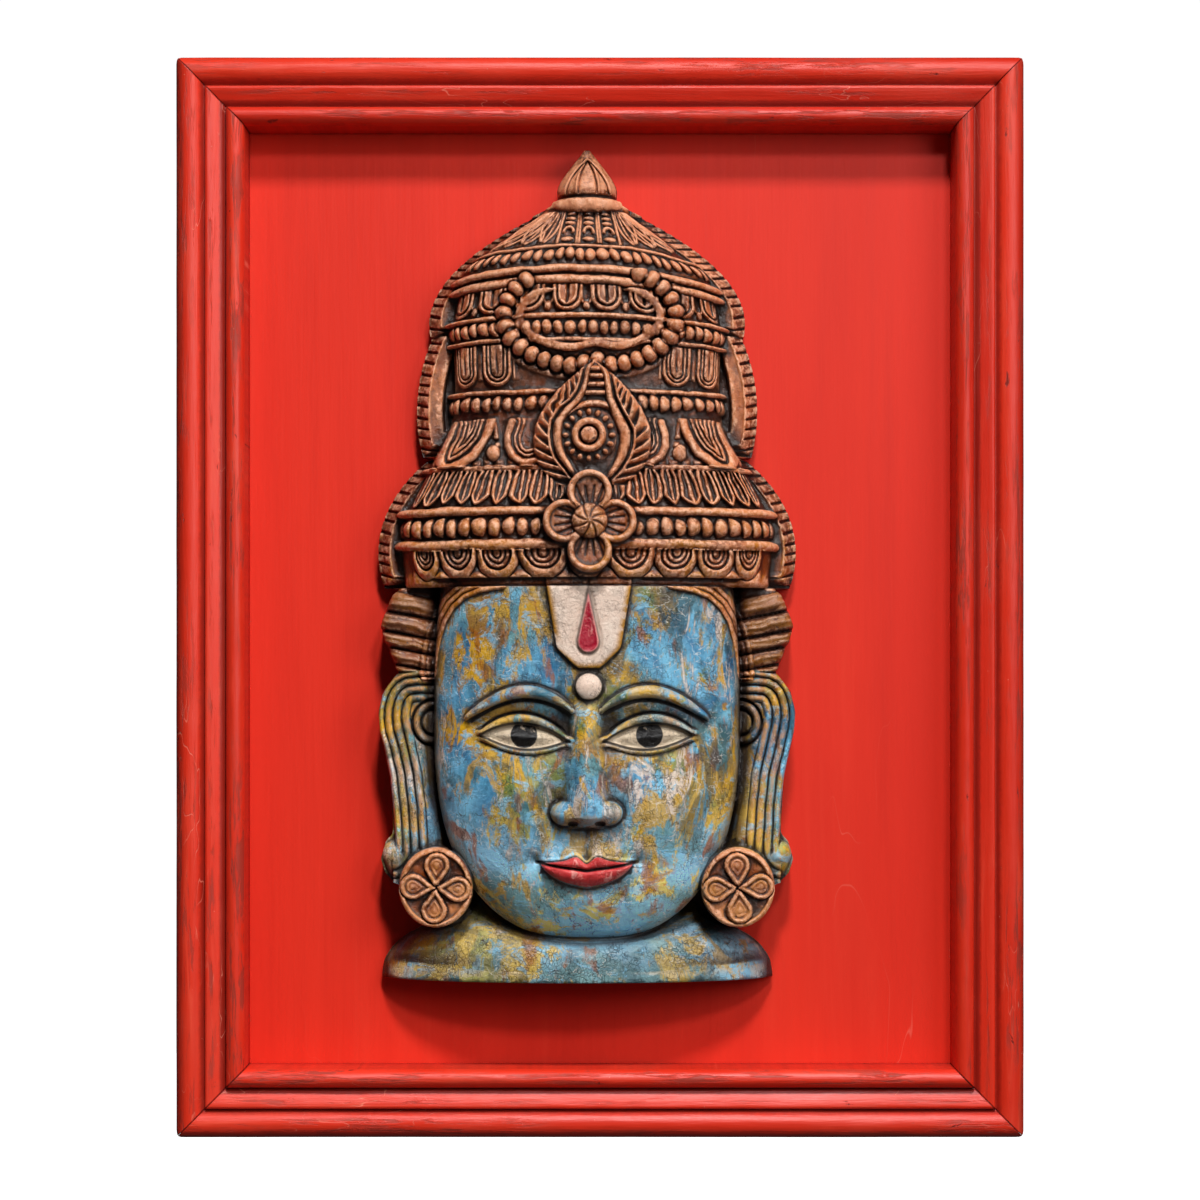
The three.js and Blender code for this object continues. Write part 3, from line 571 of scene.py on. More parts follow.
def flange(ground, x, z):
    """The flat flange: a notched bevel at its edge, a plain rim and a sunk ground."""
    for low, high, half_width in LOBES:
        half = half_width(z)
        slope = half_width(z + 0.5) - half_width(z - 0.5)
        edge = (half - np.abs(x)) / np.sqrt(1 + slope ** 2)
        edge = np.minimum(edge, (z - low) + 1.0)
        bevel = FLANGE_FRONT - 9 + 9 * smooth(edge / 9.5)
        run = np.cumsum(np.sqrt(1 + slope[:, :1] ** 2), axis=0) * (z[1, 0] - z[0, 0])
        slit = cut(nearest(run + 0.3 * edge + 0.8 * np.sin(0.2 * run), TOOTH_PITCH), 0.8)
        lip = 1.3 * cut(edge - 9.4, 0.9)
        sunk = 9.0 * smooth((edge - 18.5) / 2.2)
        lobe = bevel + lip - 3.6 * slit * inside(8.8 - edge, 1.5) - sunk
        lobe = np.where((edge > -0.01) & (z >= low) & (z <= high), lobe, 0.0)
        ground = np.maximum(ground, lobe)
    return ground


def string_bead_places():
    """Middles of the string's beads: equal steps of length along part of an ellipse."""
    turns = np.radians(np.linspace(STRING_FROM, STRING_TO, 400))
    xs = STRING_X + STRING_HALF[0] * np.cos(turns)
    zs = STRING_Z + STRING_HALF[1] * np.sin(turns)
    run = np.concatenate([[0], np.cumsum(np.hypot(np.diff(xs), np.diff(zs)))])
    steps = np.linspace(0, run[-1], STRING_BEADS)
    x, z, turn = (np.interp(steps, run, values) for values in (xs, zs, turns))
    return x, z + 4.8 * cut(x - STRING_PEAK, 9.0), turn


def string_of_beads(ground, x, z):
    """A raised band with the beads along it, each an ellipsoid turned with the ellipse, and a
    flat ridge inside them, both open at the top."""
    front = CROWN_AXIS + CROWN_DEPTH * np.sqrt(np.clip(105 ** 2 - x ** 2, 0, None))
    peak = 4.4 * cut(x - STRING_PEAK, 12.0)
    px = x - STRING_X
    for half_x, half_z, half, rise, top in [(50.6, 24.4, 3.1, 2.6, 221), (70, 44, 4.0, -1.6, 226)]:
        g = np.hypot(px / half_x, (z - peak - STRING_Z) / half_z)
        slope = np.hypot(px / half_x ** 2, (z - STRING_Z) / half_z ** 2) / np.maximum(g, 0.1)
        gap = (g - 1) / np.maximum(slope, 1e-4)
        below = inside(top - z, 3.0)
        band = front + rise - 3.0 + 3.0 * arch(gap, half) ** 0.6
        depth = (half - np.abs(gap)) * below - 3 * (1 - below)
        ground = lay(ground, higher(ground, band, 0.6), depth, 1.2)
    for k, (bx, bz, turn) in enumerate(zip(*string_bead_places())):
        near = np.flatnonzero(np.abs(z[:, 0] - bz) < 9)
        rows = slice(near[0], near[-1] + 1)
        dx, dz = x[rows] - bx, z[rows] - bz
        tx, tz = -STRING_HALF[0] * math.sin(turn), STRING_HALF[1] * math.cos(turn)
        size = math.hypot(tx, tz)
        p, q = (dx * tx + dz * tz) / size, (dx * tz - dz * tx) / size
        reach = np.hypot(p / 5.4, q / 6.5) / (1 + 0.06 * math.sin(5.3 * k))
        dark = ground[rows] - 2.4 * cut(reach - 1.12, 0.13)
        bead = front[rows] - 1.6 + 9.4 * arch(reach, 1.0)
        ground[rows] = np.where(reach < 1, np.maximum(ground[rows], bead), dark)
    return ground


def crest(ground, x, z):
    """The leafy crest: slanting barbs outside a raised band on each side, a ladder of rungs at the
    tip and a ringed disc with studs in the middle."""
    y = z - DISC_Z
    p = x - CREST_X
    right = p > (rounded(BAND_RIGHT, y) - rounded(BAND_LEFT, y)) / 2
    edge = np.where(right, (rounded(CREST_RIGHT, y) - p) * steepness(CREST_RIGHT, y),
                    (rounded(CREST_LEFT, y) + p) * steepness(CREST_LEFT, y))
    band = np.where(right, (p - rounded(BAND_RIGHT, y)) * steepness(BAND_RIGHT, y),
                    (-p - rounded(BAND_LEFT, y)) * steepness(BAND_LEFT, y))
    thick = rounded(BAND_HALF, y) * np.where(right, 1.15, 0.95)
    sweep = 0.32 + 0.5 * np.clip((y + 30) / 30, 0, 3) ** 1.25
    start = y - sweep * np.clip(band - thick - 2, 0, None)
    levels = np.arange(-60, 60, 0.5)
    run = np.cumsum(0.5 / steepness(BAND_LEFT, levels))
    phase = np.interp(start, levels, run) / 7.9 + 0.3 * right
    saw = phase - np.floor(phase)
    leaf = 81.8 + 5.4 * smooth(saw / 0.8) * smooth((1 - saw) / 0.16) + 0.8 * smooth((band - 6) / 14)
    leaf = leaf - 1.8 * smooth((2.6 - edge) / 2.6)
    height = np.where(band > 0, leaf, 84.6)
    height = np.where(np.abs(band) < thick + 2.2, 82.6, height)
    height = higher(height, 81.4 + 8.2 * arch(band, thick + 0.5) ** 0.8, 0.4)
    ridge = np.where(band > thick + 1.6, 82 + 6.0 * arch(band - thick - 3.2, 1.2), 0)
    height = np.maximum(height, ridge)
    for k, rung in enumerate(RUNGS):
        bowed = y - rung + (0.02 * (p - 4) ** 2 if k == 0 else 0.0)
        step = 84.0 + 5.2 * arch(bowed, 2.0 if k else 2.9)
        height = np.maximum(height, np.where(band < -thick - 0.4, step, 0))
    rho = np.hypot(p, y)
    studs = nearest(np.arctan2(y, p) * 16.6, 2 * math.pi * 16.6 / 16)
    inner = highest(
        85.6 + 7.0 * arch(rho - 9.8, 2.7) ** 0.7, 85.4 + 7.2 * inside(5.9 - rho, 1.0) - 0.03 * rho ** 2,
        85.0 + 5.4 * arch(np.hypot(studs / 1.8, (rho - 16.6) / 2.4), 1.0), 84.4 + 0.0 * rho,
    )
    height = np.where((rho < 20) & (band < -thick), inner, height)
    return lay(ground, height, edge, 1.6)


def flower(ground, x, z):
    """Four round petals, each a rim round a sunk field with slits, and a domed heart with curling
    grooves."""
    px, pz = x - FLOWER_X, z - FLOWER_Z
    best = np.full(np.shape(x), -9.0)
    height = np.zeros(np.shape(x))
    for k, (reach, radius) in enumerate([(17.9, 15.4), (20.6, 15.9), (17.9, 15.4), (20.6, 15.9)]):
        c, s = round(math.cos(k * math.pi / 2)), round(math.sin(k * math.pi / 2))
        out, across = px * c + pz * s, pz * c - px * s
        depth = radius - np.hypot(across, out - reach)
        turn = np.arctan2(across, np.maximum(out, 0.1))
        slits = sum(cut((turn - a) * out, 0.85) for a in (-0.38, -0.13, 0.13, 0.38))
        sunk = 0.4 - 2.4 * np.clip(slits, 0, 1) * inside(25 - out, 2)
        field = FLOWER_FRONT + sunk + 0.05 * (15 - depth)
        rim = FLOWER_FRONT - 1.0 + 5.6 * arch(depth - 2.4, 2.7) ** 0.8
        petal = np.maximum(rim, field * inside(depth - 4.8, 0.8)) + (1.5 if k == 1 else 0.0)
        height = np.where(depth > best, petal, height)
        best = np.maximum(best, depth)
    rho = np.hypot(px, pz)
    swirl = np.arctan2(pz, px) + 0.035 * rho
    groove = cut(nearest(swirl, math.pi / 4) * rho, 0.9) * smooth(rho / 3.0)
    heart = FLOWER_FRONT + 0.4 + 9.4 * arch(rho, 12.9) ** 0.9 - 1.8 * groove
    ground = lay(ground, height, best, 1.4)
    return lay(ground, heart, 12.7 - rho, 1.2)


# Face

def face_end(z):
    """How far a height is from the face's widest level: 0 there and 1 at the chin."""
    down = (FACE_WIDEST - z) / (FACE_WIDEST - CHIN)
    return np.where(down > 0, np.abs(down) ** 2.4, np.abs(0.6 * down) ** 2.4)


def face_edge(x, z):
    """0 in the middle of the face and 1 at its outline."""
    return np.abs(x / FACE_HALF) ** 2.4 + face_end(z)


def bump(x, z, at_x, at_z, wide, tall):
    """A bell of two different widths."""
    return np.exp(-(((x - at_x) / wide) ** 2) - ((z - at_z) / tall) ** 2)


def bare_face(x, z):
    """A rounded oval with hollows for the eyes and swelling cheeks, mouth and chin."""
    edge = np.minimum(1, face_edge(x, z))
    side = np.abs(x)
    swelling = (
        5 * bump(side, z, 52, NOSE_FOOT + 10, 26, 24)
        - 8 * bump(side, z, EYE_APART - 2, EYE_LEVEL + 5, 29, 15)
        - 4 * bump(side, z, 17, EYE_LEVEL + 6, 8, 16)
        + 7 * bump(x, z, 0, MOUTH, 34, 20)
        - 4 * bump(side, z, 42, MOUTH + 3, 7, 9)
        + 8 * bump(x, z, 0, CHIN + 24, 22, 14)
        - 4 * bump(x, z, 0, MOUTH - 18, 22, 6)
    )
    return FACE_BACK + FACE_DEPTH * (1 - edge) ** 0.45 + swelling * (1 - edge)


def nose(height, x, z):
    """A straight bridge that widens to a rounded tip, a wing each side set off by a fold, and an
    under edge with two hollows."""
    share = np.clip((BROW - z) / (BROW - NOSE_FOOT), -0.1, 1.2)
    half = np.interp(share, [0, 0.3, 0.6, 0.84, 1.0, 1.1], [10, 9, 10.5, 13.5, 13, 10])
    tall = np.interp(share, [0, 0.12, 0.35, 0.7, 0.86, 0.95, 1.0, 1.05], [0, 5, 10, 17, 20.5, 20, 13, 0])
    bridge = tall * np.exp(-0.8 * np.abs(x / half) ** 2.2)
    wing_reach = np.hypot((np.abs(x) - 15.5) / 10.5, (z - NOSE_FOOT - 7.5) / 9.2)
    wing = 13.5 * arch(wing_reach, 1.0)
    outer = smooth((np.abs(x) - 14) / 8) * smooth((z - NOSE_FOOT + 1) / 6)
    fold = 1.5 * cut(wing_reach - 1.14, 0.14) * outer
    nostril = 4.0 * arch(np.hypot((np.abs(x) - 9.5) / 4.6, (z - NOSE_FOOT - 0.2) / 2.2), 1.0)
    raised = np.maximum(higher(bridge, wing, 5.0) - 2.5, 0)
    return height + np.where(share > -0.05, raised, 0) - fold - nostril


def eye_lines(x):
    """Upper and lower edges of the eyes, and the share of the eye's half length from its middle."""
    t = (np.abs(x) - EYE_APART) / EYE_HALF
    tilt = EYE_LEVEL - 1.0 + 2.0 * t
    open_up = np.clip(1 - np.abs(t) ** 2.0, 0, None)
    open_down = np.clip(1 - t ** 2, 0, None) ** 1.2
    return tilt + 9.6 * open_up, tilt - 7.4 * open_down, t


def brow_line(x):
    """Middle height of the eyebrow: a long even arch, highest a little past its middle."""
    t = np.clip((np.abs(x) - 11) / 78, 0, 1)
    return BROW - 8 + 16.5 * np.sin(math.pi * t ** 0.9) ** 0.9 - 7 * t


def eyes(height, x, z):
    """Almond eyes with a heavy upper lid, a crease over it, a thin lower lid and a raised brow
    with a thinner ridge over it."""
    top, low, t = eye_lines(x)
    depth = np.minimum(top - z, z - low)
    ball = height + 0.5 + 5.0 * np.sqrt(np.clip(1 - t ** 2, 0, 1)) * smooth(depth / 9)
    within = inside(depth, 1.0) * (np.abs(t) < 1)
    reach = np.clip(1.22 - np.abs(t), 0, 1)
    swell = np.sqrt(np.clip(1 - (t / 1.22) ** 2, 0, 1))
    lid = 5.6 * arch(z - top - 3.6 * swell, 0.8 + 3.4 * swell) * smooth(reach / 0.25)
    crease = 2.6 * cut(z - top - 8.4 * swell, 1.3) * smooth(reach / 0.4)
    under = 3.0 * arch(z - low + 2.0, 2.3) * smooth(reach / 0.3)
    share = np.clip((np.abs(x) - 9) / 80, 0, 1)
    thick = np.sin(math.pi * share) ** 0.6
    level = z - brow_line(x)
    brow = 6.0 * arch(level, 1.4 + 3.6 * thick) ** 0.9
    brow = brow - 2.0 * cut(level + 5.6, 1.5) * thick - 1.2 * cut(level - 5.8, 1.4) * thick
    brow = brow * inside(np.abs(x) - 10, 4) * inside(87 - np.abs(x), 4)
    height = height * (1 - within) + ball * within
    return height + np.maximum(lid, under) * (1 - within) - crease + brow


def lip_lines(x):
    """Upper edge, meeting line and lower edge of the lips."""
    t = np.clip(np.abs(x) / 33.0, 0, 1)
    full = np.sqrt(1 - t ** 2)
    meeting = MOUTH + 4.5 * t ** 2 - 1.0 * cut(x, 5)
    rise = 6.8 * (1 - t ** 1.8) + 2.4 * cut(np.abs(x) - 8.0, 5.5)
    upper = meeting + rise * full ** 0.4 - 2.4 * cut(x, 4.0)
    lower = meeting - 12.0 * full ** 1.15
    return upper, meeting, lower


def lips(height, x, z):
    """Full lips: an upper one with a dip in its middle, and a rounder lower one, with a raised
    edge above them and a hollow at each corner."""
    upper, meeting, lower = lip_lines(x)
    span_up = np.maximum(upper - meeting, 0.5)
    span_down = np.maximum(meeting - lower, 0.5)
    up = arch((z - meeting) / span_up - 0.45, 0.6) * (z > meeting)
    down = arch((meeting - z) / span_down - 0.5, 0.62) * (z <= meeting)
    fade = smooth((35.5 - np.abs(x)) / 7)
    groove = 2.6 * cut(z - meeting, 1.1) * inside(36.5 - np.abs(x), 3)
    corner = 2.4 * bump(np.abs(x), z, 36.5, MOUTH + 6.5, 4.0, 4.0)
    edge = 1.6 * cut(z - upper - 1.4, 1.5) * fade
    philtrum = 1.8 * cut(x, 3.2) * smooth((z - upper - 1) / 3) * smooth((NOSE_FOOT - 2 - z) / 4)
    return height + (5.0 * up + 6.2 * down) * fade + edge - groove - philtrum - corner


def mark_depth(x, z):
    """Depth inside the forehead mark: sides that lean in a little, shoulders and a blunt foot."""
    half = rounded([
        (MARK_TIP - 1, 5.5), (MARK_TIP, 7.4), (MARK_TIP + 3, 11.5), (MARK_TIP + 7, 15.5),
        (MARK_SHOULDER - 2, 18.5), (MARK_SHOULDER, 21), (MARK_SHOULDER + 3, 23), (8, MARK_HALF),
        (20, MARK_HALF),
    ], z, 0.9)
    return np.minimum(half - np.abs(x - MARK_X), z - MARK_TIP)


def drop_depth(x, z):
    """Depth inside the drop on the mark."""
    return tear_drop(x - MARK_X + 0.3, DROP_TOP - z, DROP_TOP - DROP_FOOT, 7.6)


def forehead_mark(height, x, z):
    """A thin raised shield with a drop in a shallow moat on it and a round stud at its foot."""
    plain = higher(height, bare_face(x, z) + 3.0, 0.4)
    height = lay(height, plain, mark_depth(x, z), 1.4)
    depth = drop_depth(x, z)
    height = height - 1.8 * cut(depth + 1.4, 1.3) * inside(mark_depth(x, z) - 1)
    height = lay(height, plain + 1.4 - 0.8 * inside(depth - 1.6, 1.0), depth, 1.0)
    reach = np.hypot(x - MARK_X, z - STUD_Z)
    stud = bare_face(x, z) + 2.0 + 4.6 * arch(reach, STUD_RADIUS)
    return np.where(reach < STUD_RADIUS - 0.3, np.maximum(height, stud), height)


def face(ground, x, z):
    """The whole face, with the ground sunk round its outline."""
    height = bare_face(x, z)
    for feature in (nose, eyes, lips, forehead_mark):
        height = feature(height, x, z)
    past = face_edge(x, z) - 1
    sunk = 9 * cut(np.maximum(past * EDGE_REACH, 0), 5.0) * smooth((z + 262) / 20)
    return higher(ground - sunk, np.where(past < 0, height, 0.0), 0.8)


# Hair, ears, earrings and neck

def hair_rolls(ground, x, z):
    """Stacked rolls of hair under the brim, each a half round, slanting a little towards the face."""
    side = np.abs(x)
    level = z - 0.19 * (side - 144)
    height = np.zeros(np.shape(x))
    for low, high in HAIR_ROLLS:
        roll = HAIR_FRONT + 10.5 * arch(level - (low + high) / 2, (high - low) / 2) ** 0.75
        height = np.maximum(height, roll)
    strands = 0.5 * np.sin(1.3 * level + 2 * lumps(x, z, 9, 21))
    half = rounded(SIDE_OUTLINE, z, 0.8)
    edge = 8.0 * (1 - arch(np.clip(7 - (half - side), 0, 7), 7.3))
    return np.maximum(ground, height + strands - edge)


def ear_depth(x, z):
    """Depth inside the ear's outer curve."""
    return -to_path(np.abs(x), z, EAR_PATH)[0]


def ears(ground, x, z):
    """Ears with rounded ridges that follow the outer curve at equal depths, an inner bowl and a
    plain part towards the face."""
    side = np.abs(x)
    depth = ear_depth(x, z) + 0.5 * lumps(x, z, 14, 23)
    height = 43.0 - 4.0 * (1 - arch(np.clip(4 - depth, 0, 4), 4.2))
    height = height - 3.0 * smooth((depth - 20) / 16)
    drift = 0.03 * np.clip(-90 - z, 0, 90)
    edges = [-1.5] + EAR_GROOVES
    for low, high in zip(edges[:-1], edges[1:]):
        half = (high - low) / 2
        ridge = 5.2 * arch(depth - low - drift - half, half)
        height = height + ridge * inside(high + drift - depth)
    plain = inside(depth - EAR_GROOVES[-1] - drift, 1.6)
    height = height + plain * 3.4
    bowl = 9.6 - np.hypot((side - EAR_BOWL[0]) / 1.55, (z - EAR_BOWL[1]) / 1.68)
    inner = 44 - 3.2 * cut(bowl + 0.5, 0.8) + 4.6 * arch(bowl - 1.7, 1.8)
    inner = inner + 2.6 * inside(bowl - 4.4, 1.2) - 2.4 * cut(bowl - 3.9, 0.7)
    height = np.where(bowl > -1, inner, height)
    return np.maximum(ground, height - 6 * smooth((112 - side) / 8))


def lobe_curls(ground, x, z):
    """The curl below each ear: a drop that hangs from the ear's edge, with a curled hollow."""
    p, q = np.abs(x) - LOBE_CURL[0], z - LOBE_CURL[1]
    body = np.hypot(p / (12.6 - 2.0 * smooth(-q / 16)), q / (11.5 + 9.5 * (q < 0)))
    curl = cut(np.hypot(p + 10, q - 7) - 8.5, 1.1) * inside(4 - p, 3)
    return np.maximum(ground, np.where(body < 1, 35 + 13 * arch(body, 1.02) - 2.6 * curl, 0.0))


def earrings(ground, x, z):
    """Discs with four tear drops in a cross, each a ridge, a groove and a raised heart, and a rim
    between them."""
    ex, ez, rx, rz = EARRING
    p, q = np.abs(x) - ex, z - ez
    edge = (1 - np.hypot(p / rx, q / rz)) * (rx + rz) / 2
    top = EARRING_FRONT - 4.2 * (1 - arch(np.clip(4.0 - edge, 0, 4.0), 4.2))
    height = top - 2.8 * smooth((edge - 3.2) / 1.4)
    for k in range(4):
        turn = k * math.pi / 2 + 0.06
        c, s = math.cos(turn), math.sin(turn)
        depth = tear_drop(p * c + q * s, q * c - p * s, 25.4, 9.0)
        ridge = highest(
            EARRING_FRONT + 1.4 + 1.6 * (arch(depth - 1.4, 1.5) - 1), EARRING_FRONT - 2.6 + 0 * depth,
            EARRING_FRONT + 0.8 - 0.8 * cut(depth - 6.4, 1.0) - 4 * (1 - inside(depth - 4.4, 0.9)),
        )
        moat = EARRING_FRONT - 3.4
        height = np.where(depth > -1.2, np.minimum(height, moat), height)
        height = np.where(depth > -0.2, ridge, height)
    return lay(ground, height, edge, 1.2)


def neck(ground, x, z):
    """Neck and shoulders, round in plan."""
    half = rounded(NECK, z, 2.0)
    depth = NECK_DEPTH * np.sqrt(np.clip(half ** 2 - (x - NECK_X) ** 2, 0, None))
    return higher(ground, MASK_BACK + depth, 1.0)


def hairline(ground, x, z):
    """Three strands of hair that run from under the brim round the temples."""
    gap, _ = to_path(np.abs(x), z, HAIRLINE)
    strand = 2.2 * arch(nearest(gap, 4.2), 1.9)
    return ground + (strand + 0.6) * inside(6.2 - np.abs(gap), 1.2)


def silhouette(z, side):
    """Half width of the whole mask at a height, on the right for side 1 and the left for -1."""
    half = np.where(z > 280, rounded(BUD, z, 0.8), 0)
    for low, high, half_width in LOBES:
        edge = np.where((z >= low) & (z <= high), half_width(z), 0)
        half = np.maximum(half, edge)
    crown = rounded(CROWN_BODY, z, 2.0)
    half = np.maximum(half, np.where((z >= CROWN_FOOT) & (z < 280), crown, 0))
    hair = rounded(SIDE_OUTLINE, z, 0.8)
    half = np.maximum(half, np.where((z > SIDE_OUTLINE[0][0]) & (z <= CROWN_FOOT), hair, 0))
    ex, ez, rx, rz = EARRING
    ring = ex + rx * np.sqrt(np.clip(1 - ((z - ez) / rz) ** 2, 0, 1))
    half = np.maximum(half, np.where(np.abs(z - ez) < rz, ring, 0))
    shoulders = rounded(NECK, z, 2.0) + side * NECK_X
    return np.maximum(half, np.where(z < -200, shoulders, 0))


# The whole mask as one height on a grid

def inner_line(outline):
    """A line inside an outline that has no jumps: its lowest value over nearby heights, made
    smooth, but never outside the outline nor too far within it."""
    nearby = np.stack([np.roll(outline, k) for k in range(-CALM_ROWS, CALM_ROWS + 1)])
    calm = blur(nearby.min(axis=0)[:, None], CALM_ROWS * 0.5)[:, 0]
    return np.clip(calm - 3.0, 0.4 * outline, 0.97 * outline)


def mask_grid():
    """Places on the grid at each height: most columns in equal shares between two calm inner
    lines, and the others from those lines out to the two outlines."""
    z = np.linspace(BASE, TIP - 0.2, ROWS)
    left, right = silhouette(z, -1), silhouette(z, 1)
    near_left, near_right = inner_line(left), inner_line(right)
    inner = np.linspace(0, 1, COLUMNS - 2 * EDGE_COLUMNS)
    outer = np.linspace(0, 1, EDGE_COLUMNS + 1)[1:]
    middle = -near_left[:, None] + (near_right + near_left)[:, None] * inner
    rim_right = near_right[:, None] + (right - near_right)[:, None] * outer
    rim_left = -near_left[:, None] - (left - near_left)[:, None] * outer
    x = np.concatenate([rim_left[:, ::-1], middle, rim_right], axis=1)
    return x, np.repeat(z[:, None], COLUMNS, axis=1)


def band_of(z, low, high):
    """The rows of the grid between two heights."""
    level = z[:, 0]
    return slice(int(np.searchsorted(level, low)), int(np.searchsorted(level, high)))


def mask_height(x, z):
    """Every part of the mask, laid one over the other from the back to the front. Each part takes
    the height so far in its own band, and gives it back with itself on it."""
    height = np.full(x.shape, MASK_BACK + 6.0)
    for low, high, part in [
        (CROWN_FOOT - 4, TIP + 1, flange), (CROWN_FOOT, 290, crown_body), (236, 284, dome_relief),
        (278, TIP + 1, finial), (146, 235, string_of_beads), (DISC_Z - 36, DISC_Z + 54, crest),
        (FLOWER_Z - 40, FLOWER_Z + 40, flower), (-54, CROWN_FOOT, hair_rolls), (-216, -54, ears),
        (-216, -168, lobe_curls), (BASE - 1, -170, neck), (CHIN - 12, CROWN_FOOT + 6, face),
        (-60, CROWN_FOOT, hairline), (EARRING[1] - 31, EARRING[1] + 31, earrings),
    ]:
        rows = band_of(z, low, high)
        height[rows] = part(height[rows], x[rows], z[rows])
    height -= 2.0 * cut(np.clip(z - CROWN_FOOT, 0, None), 1.2) * (z >= CROWN_FOOT)
    hand = 0.30 * lumps(x, z, 9, 41) + 0.12 * lumps(x, z, 4.1, 42)
    return np.clip(height + hand, MASK_BACK + 3, MASK_FRONT - 0.1)


# Fields that the mask's material reads

def mask_fields(x, z, height):
    """Depth of hollows at three scales, and signed depths in millimetres inside painted shapes."""
    cell = z[1, 0] - z[0, 0]
    fine = height - blur(height, 1.5 / cell)
    wide = height - blur(height, 5.5 / cell)
    broad = height - blur(height, 16 / cell)
    side = np.abs(x)
    ex, ez, rx, rz = EARRING
    ring = (1 - np.hypot((side - ex) / rx, (z - ez) / rz)) * (rx + rz) / 2
    hair = 6.4 - np.abs(to_path(side, z, HAIRLINE)[0])
    rolls = np.minimum(np.minimum(side - 112, z + 53), 8)
    bare = highest(z - CROWN_FOOT + 0.5, ring, hair, rolls)
    top, low, t = eye_lines(x)
    t = np.abs(t)
    eye = np.minimum(top - z, z - low) - 6 * np.clip(t - 1, 0, 1)
    eye = np.where(t < 1.12, eye, -6.0)
    iris = 9.8 - np.hypot(side - EYE_APART, z - EYE_LEVEL - 1.2)
    upper, meeting, lower = lip_lines(x)
    lip = np.where(side < 34, np.minimum(upper - z, z - lower), -6.0)
    seam = 1.2 - np.abs(z - meeting) + np.where(side < 35.5, 0, -6)
    brow = (1.6 - np.abs(z - brow_line(x) + 5.6)) + np.where((side > 15) & (side < 84), 0, -6)
    swell = np.sqrt(np.clip(1 - (t / 1.22) ** 2, 0, 1))
    crease = 0.9 - np.abs(z - top - 8.4 * swell) + np.where(t < 1.1, 0, -6)
    beyond = (face_edge(x, z) - 1) * EDGE_REACH
    fields = {
        "cavity": fine / 0.9,
        "hollow": wide / 3.0,
        "shade": broad / 10.0,
        "bare": bare,
        "coil": np.minimum(rolls, 5 - z),
        "edge": -beyond,
        "eye": eye,
        "iris": iris,
        "lip": lip,
        "seam": seam,
        "line": np.maximum(brow, crease),
        "mark": mark_depth(x, z) - 6 * (z > CROWN_FOOT),
        "drop": drop_depth(x, z),
        "stud": STUD_RADIUS - 0.4 - np.hypot(x - MARK_X, z - STUD_Z),
        "earring": ring,
        "ear": np.minimum(beyond, (z + 214) / 3),
    }
    return {name: np.clip(value, -8, 8) for name, value in fields.items()}


# Meshes

def new_piece(name, points, faces, smooth_faces=True):
    """A mesh object from points in millimetres as (x, height, z), its place in its mesh."""
    world = np.empty((len(points), 3))
    world[:, 0], world[:, 1], world[:, 2] = points[:, 0] * MM, -points[:, 1] * MM, points[:, 2] * MM
    mesh = bpy.data.meshes.new(name)
    mesh.from_pydata(world.tolist(), [], faces)
    mesh.polygons.foreach_set("use_smooth", np.full(len(mesh.polygons), smooth_faces))
    mesh.update()
    piece = bpy.data.objects.new(name, mesh)
    bpy.context.scene.collection.objects.link(piece)
    return piece


def set_field(piece, name, values):
    """A number for each vertex, which a material reads by name."""
    field = piece.data.attributes.new(name, "FLOAT", "POINT")
    field.data.foreach_set("value", np.asarray(values, np.float32))


def quads(rows, cols, first=0, wrap=False):
    """Four-cornered faces of a grid of points, row by row."""
    r, c = np.meshgrid(np.arange(rows - 1), np.arange(cols if wrap else cols - 1), indexing="ij")
    nxt = (c + 1) % cols
    a, b = first + r * cols + c, first + r * cols + nxt
    return np.stack([a, b, b + cols, a + cols], axis=-1).reshape(-1, 4)


def mask_piece():
    """The relief's front, its walls to the back and the flat back itself, closed all round."""
    x, z = mask_grid()
    height = mask_height(x, z)
    rows, cols = x.shape
    front = np.stack([x + MIDDLE, height, z], axis=-1).reshape(-1, 3)
    index = np.arange(rows * cols).reshape(rows, cols)
    loop = np.concatenate([index[0, :], index[1:, -1], index[-1, -2::-1], index[-2:0:-1, 0]])
    back = front[loop].copy()
    back[:, 1] = MASK_BACK
    first = len(front)
    after = np.roll(np.arange(len(loop)), -1)
    walls = np.stack([loop[after], loop, first + np.arange(len(loop)), first + after], axis=-1)
    faces = quads(rows, cols).tolist() + walls.tolist() + back_faces(first, rows, cols)
    piece = new_piece("carved_mask", np.concatenate([front, back]), faces)
    thin(piece, MASK_TRIANGLES)
    for name, values in mask_fields(x, z, height).items():
        set_field(piece, name, read_grid(piece, x, z, values))
    return piece


def back_faces(first, rows, cols):
    """The flat back: strips between equal heights, and fans at the foot and the tip. Its points
    run once round the grid's edge, so the left side's go down from the top."""
    right = first + cols - 1 + np.arange(rows)
    top_left = first + 2 * cols + rows - 3
    left = np.concatenate([[first], top_left + rows - 1 - np.arange(1, rows - 1), [top_left]])
    middle = np.stack([left[1:-2], left[2:-1], right[2:-1], right[1:-2]], axis=-1).tolist()
    foot = [[first + i, int(left[1]), first + i + 1] for i in range(cols - 1)]
    foot.append([int(right[0]), int(left[1]), int(right[1])])
    top = list(range(int(right[-1]), int(left[-1]) + 1))
    head = [[top[i], int(right[-2]), top[i + 1]] for i in range(len(top) - 1)]
    head.append([int(left[-1]), int(right[-2]), int(left[-2])])
    return middle + foot + head


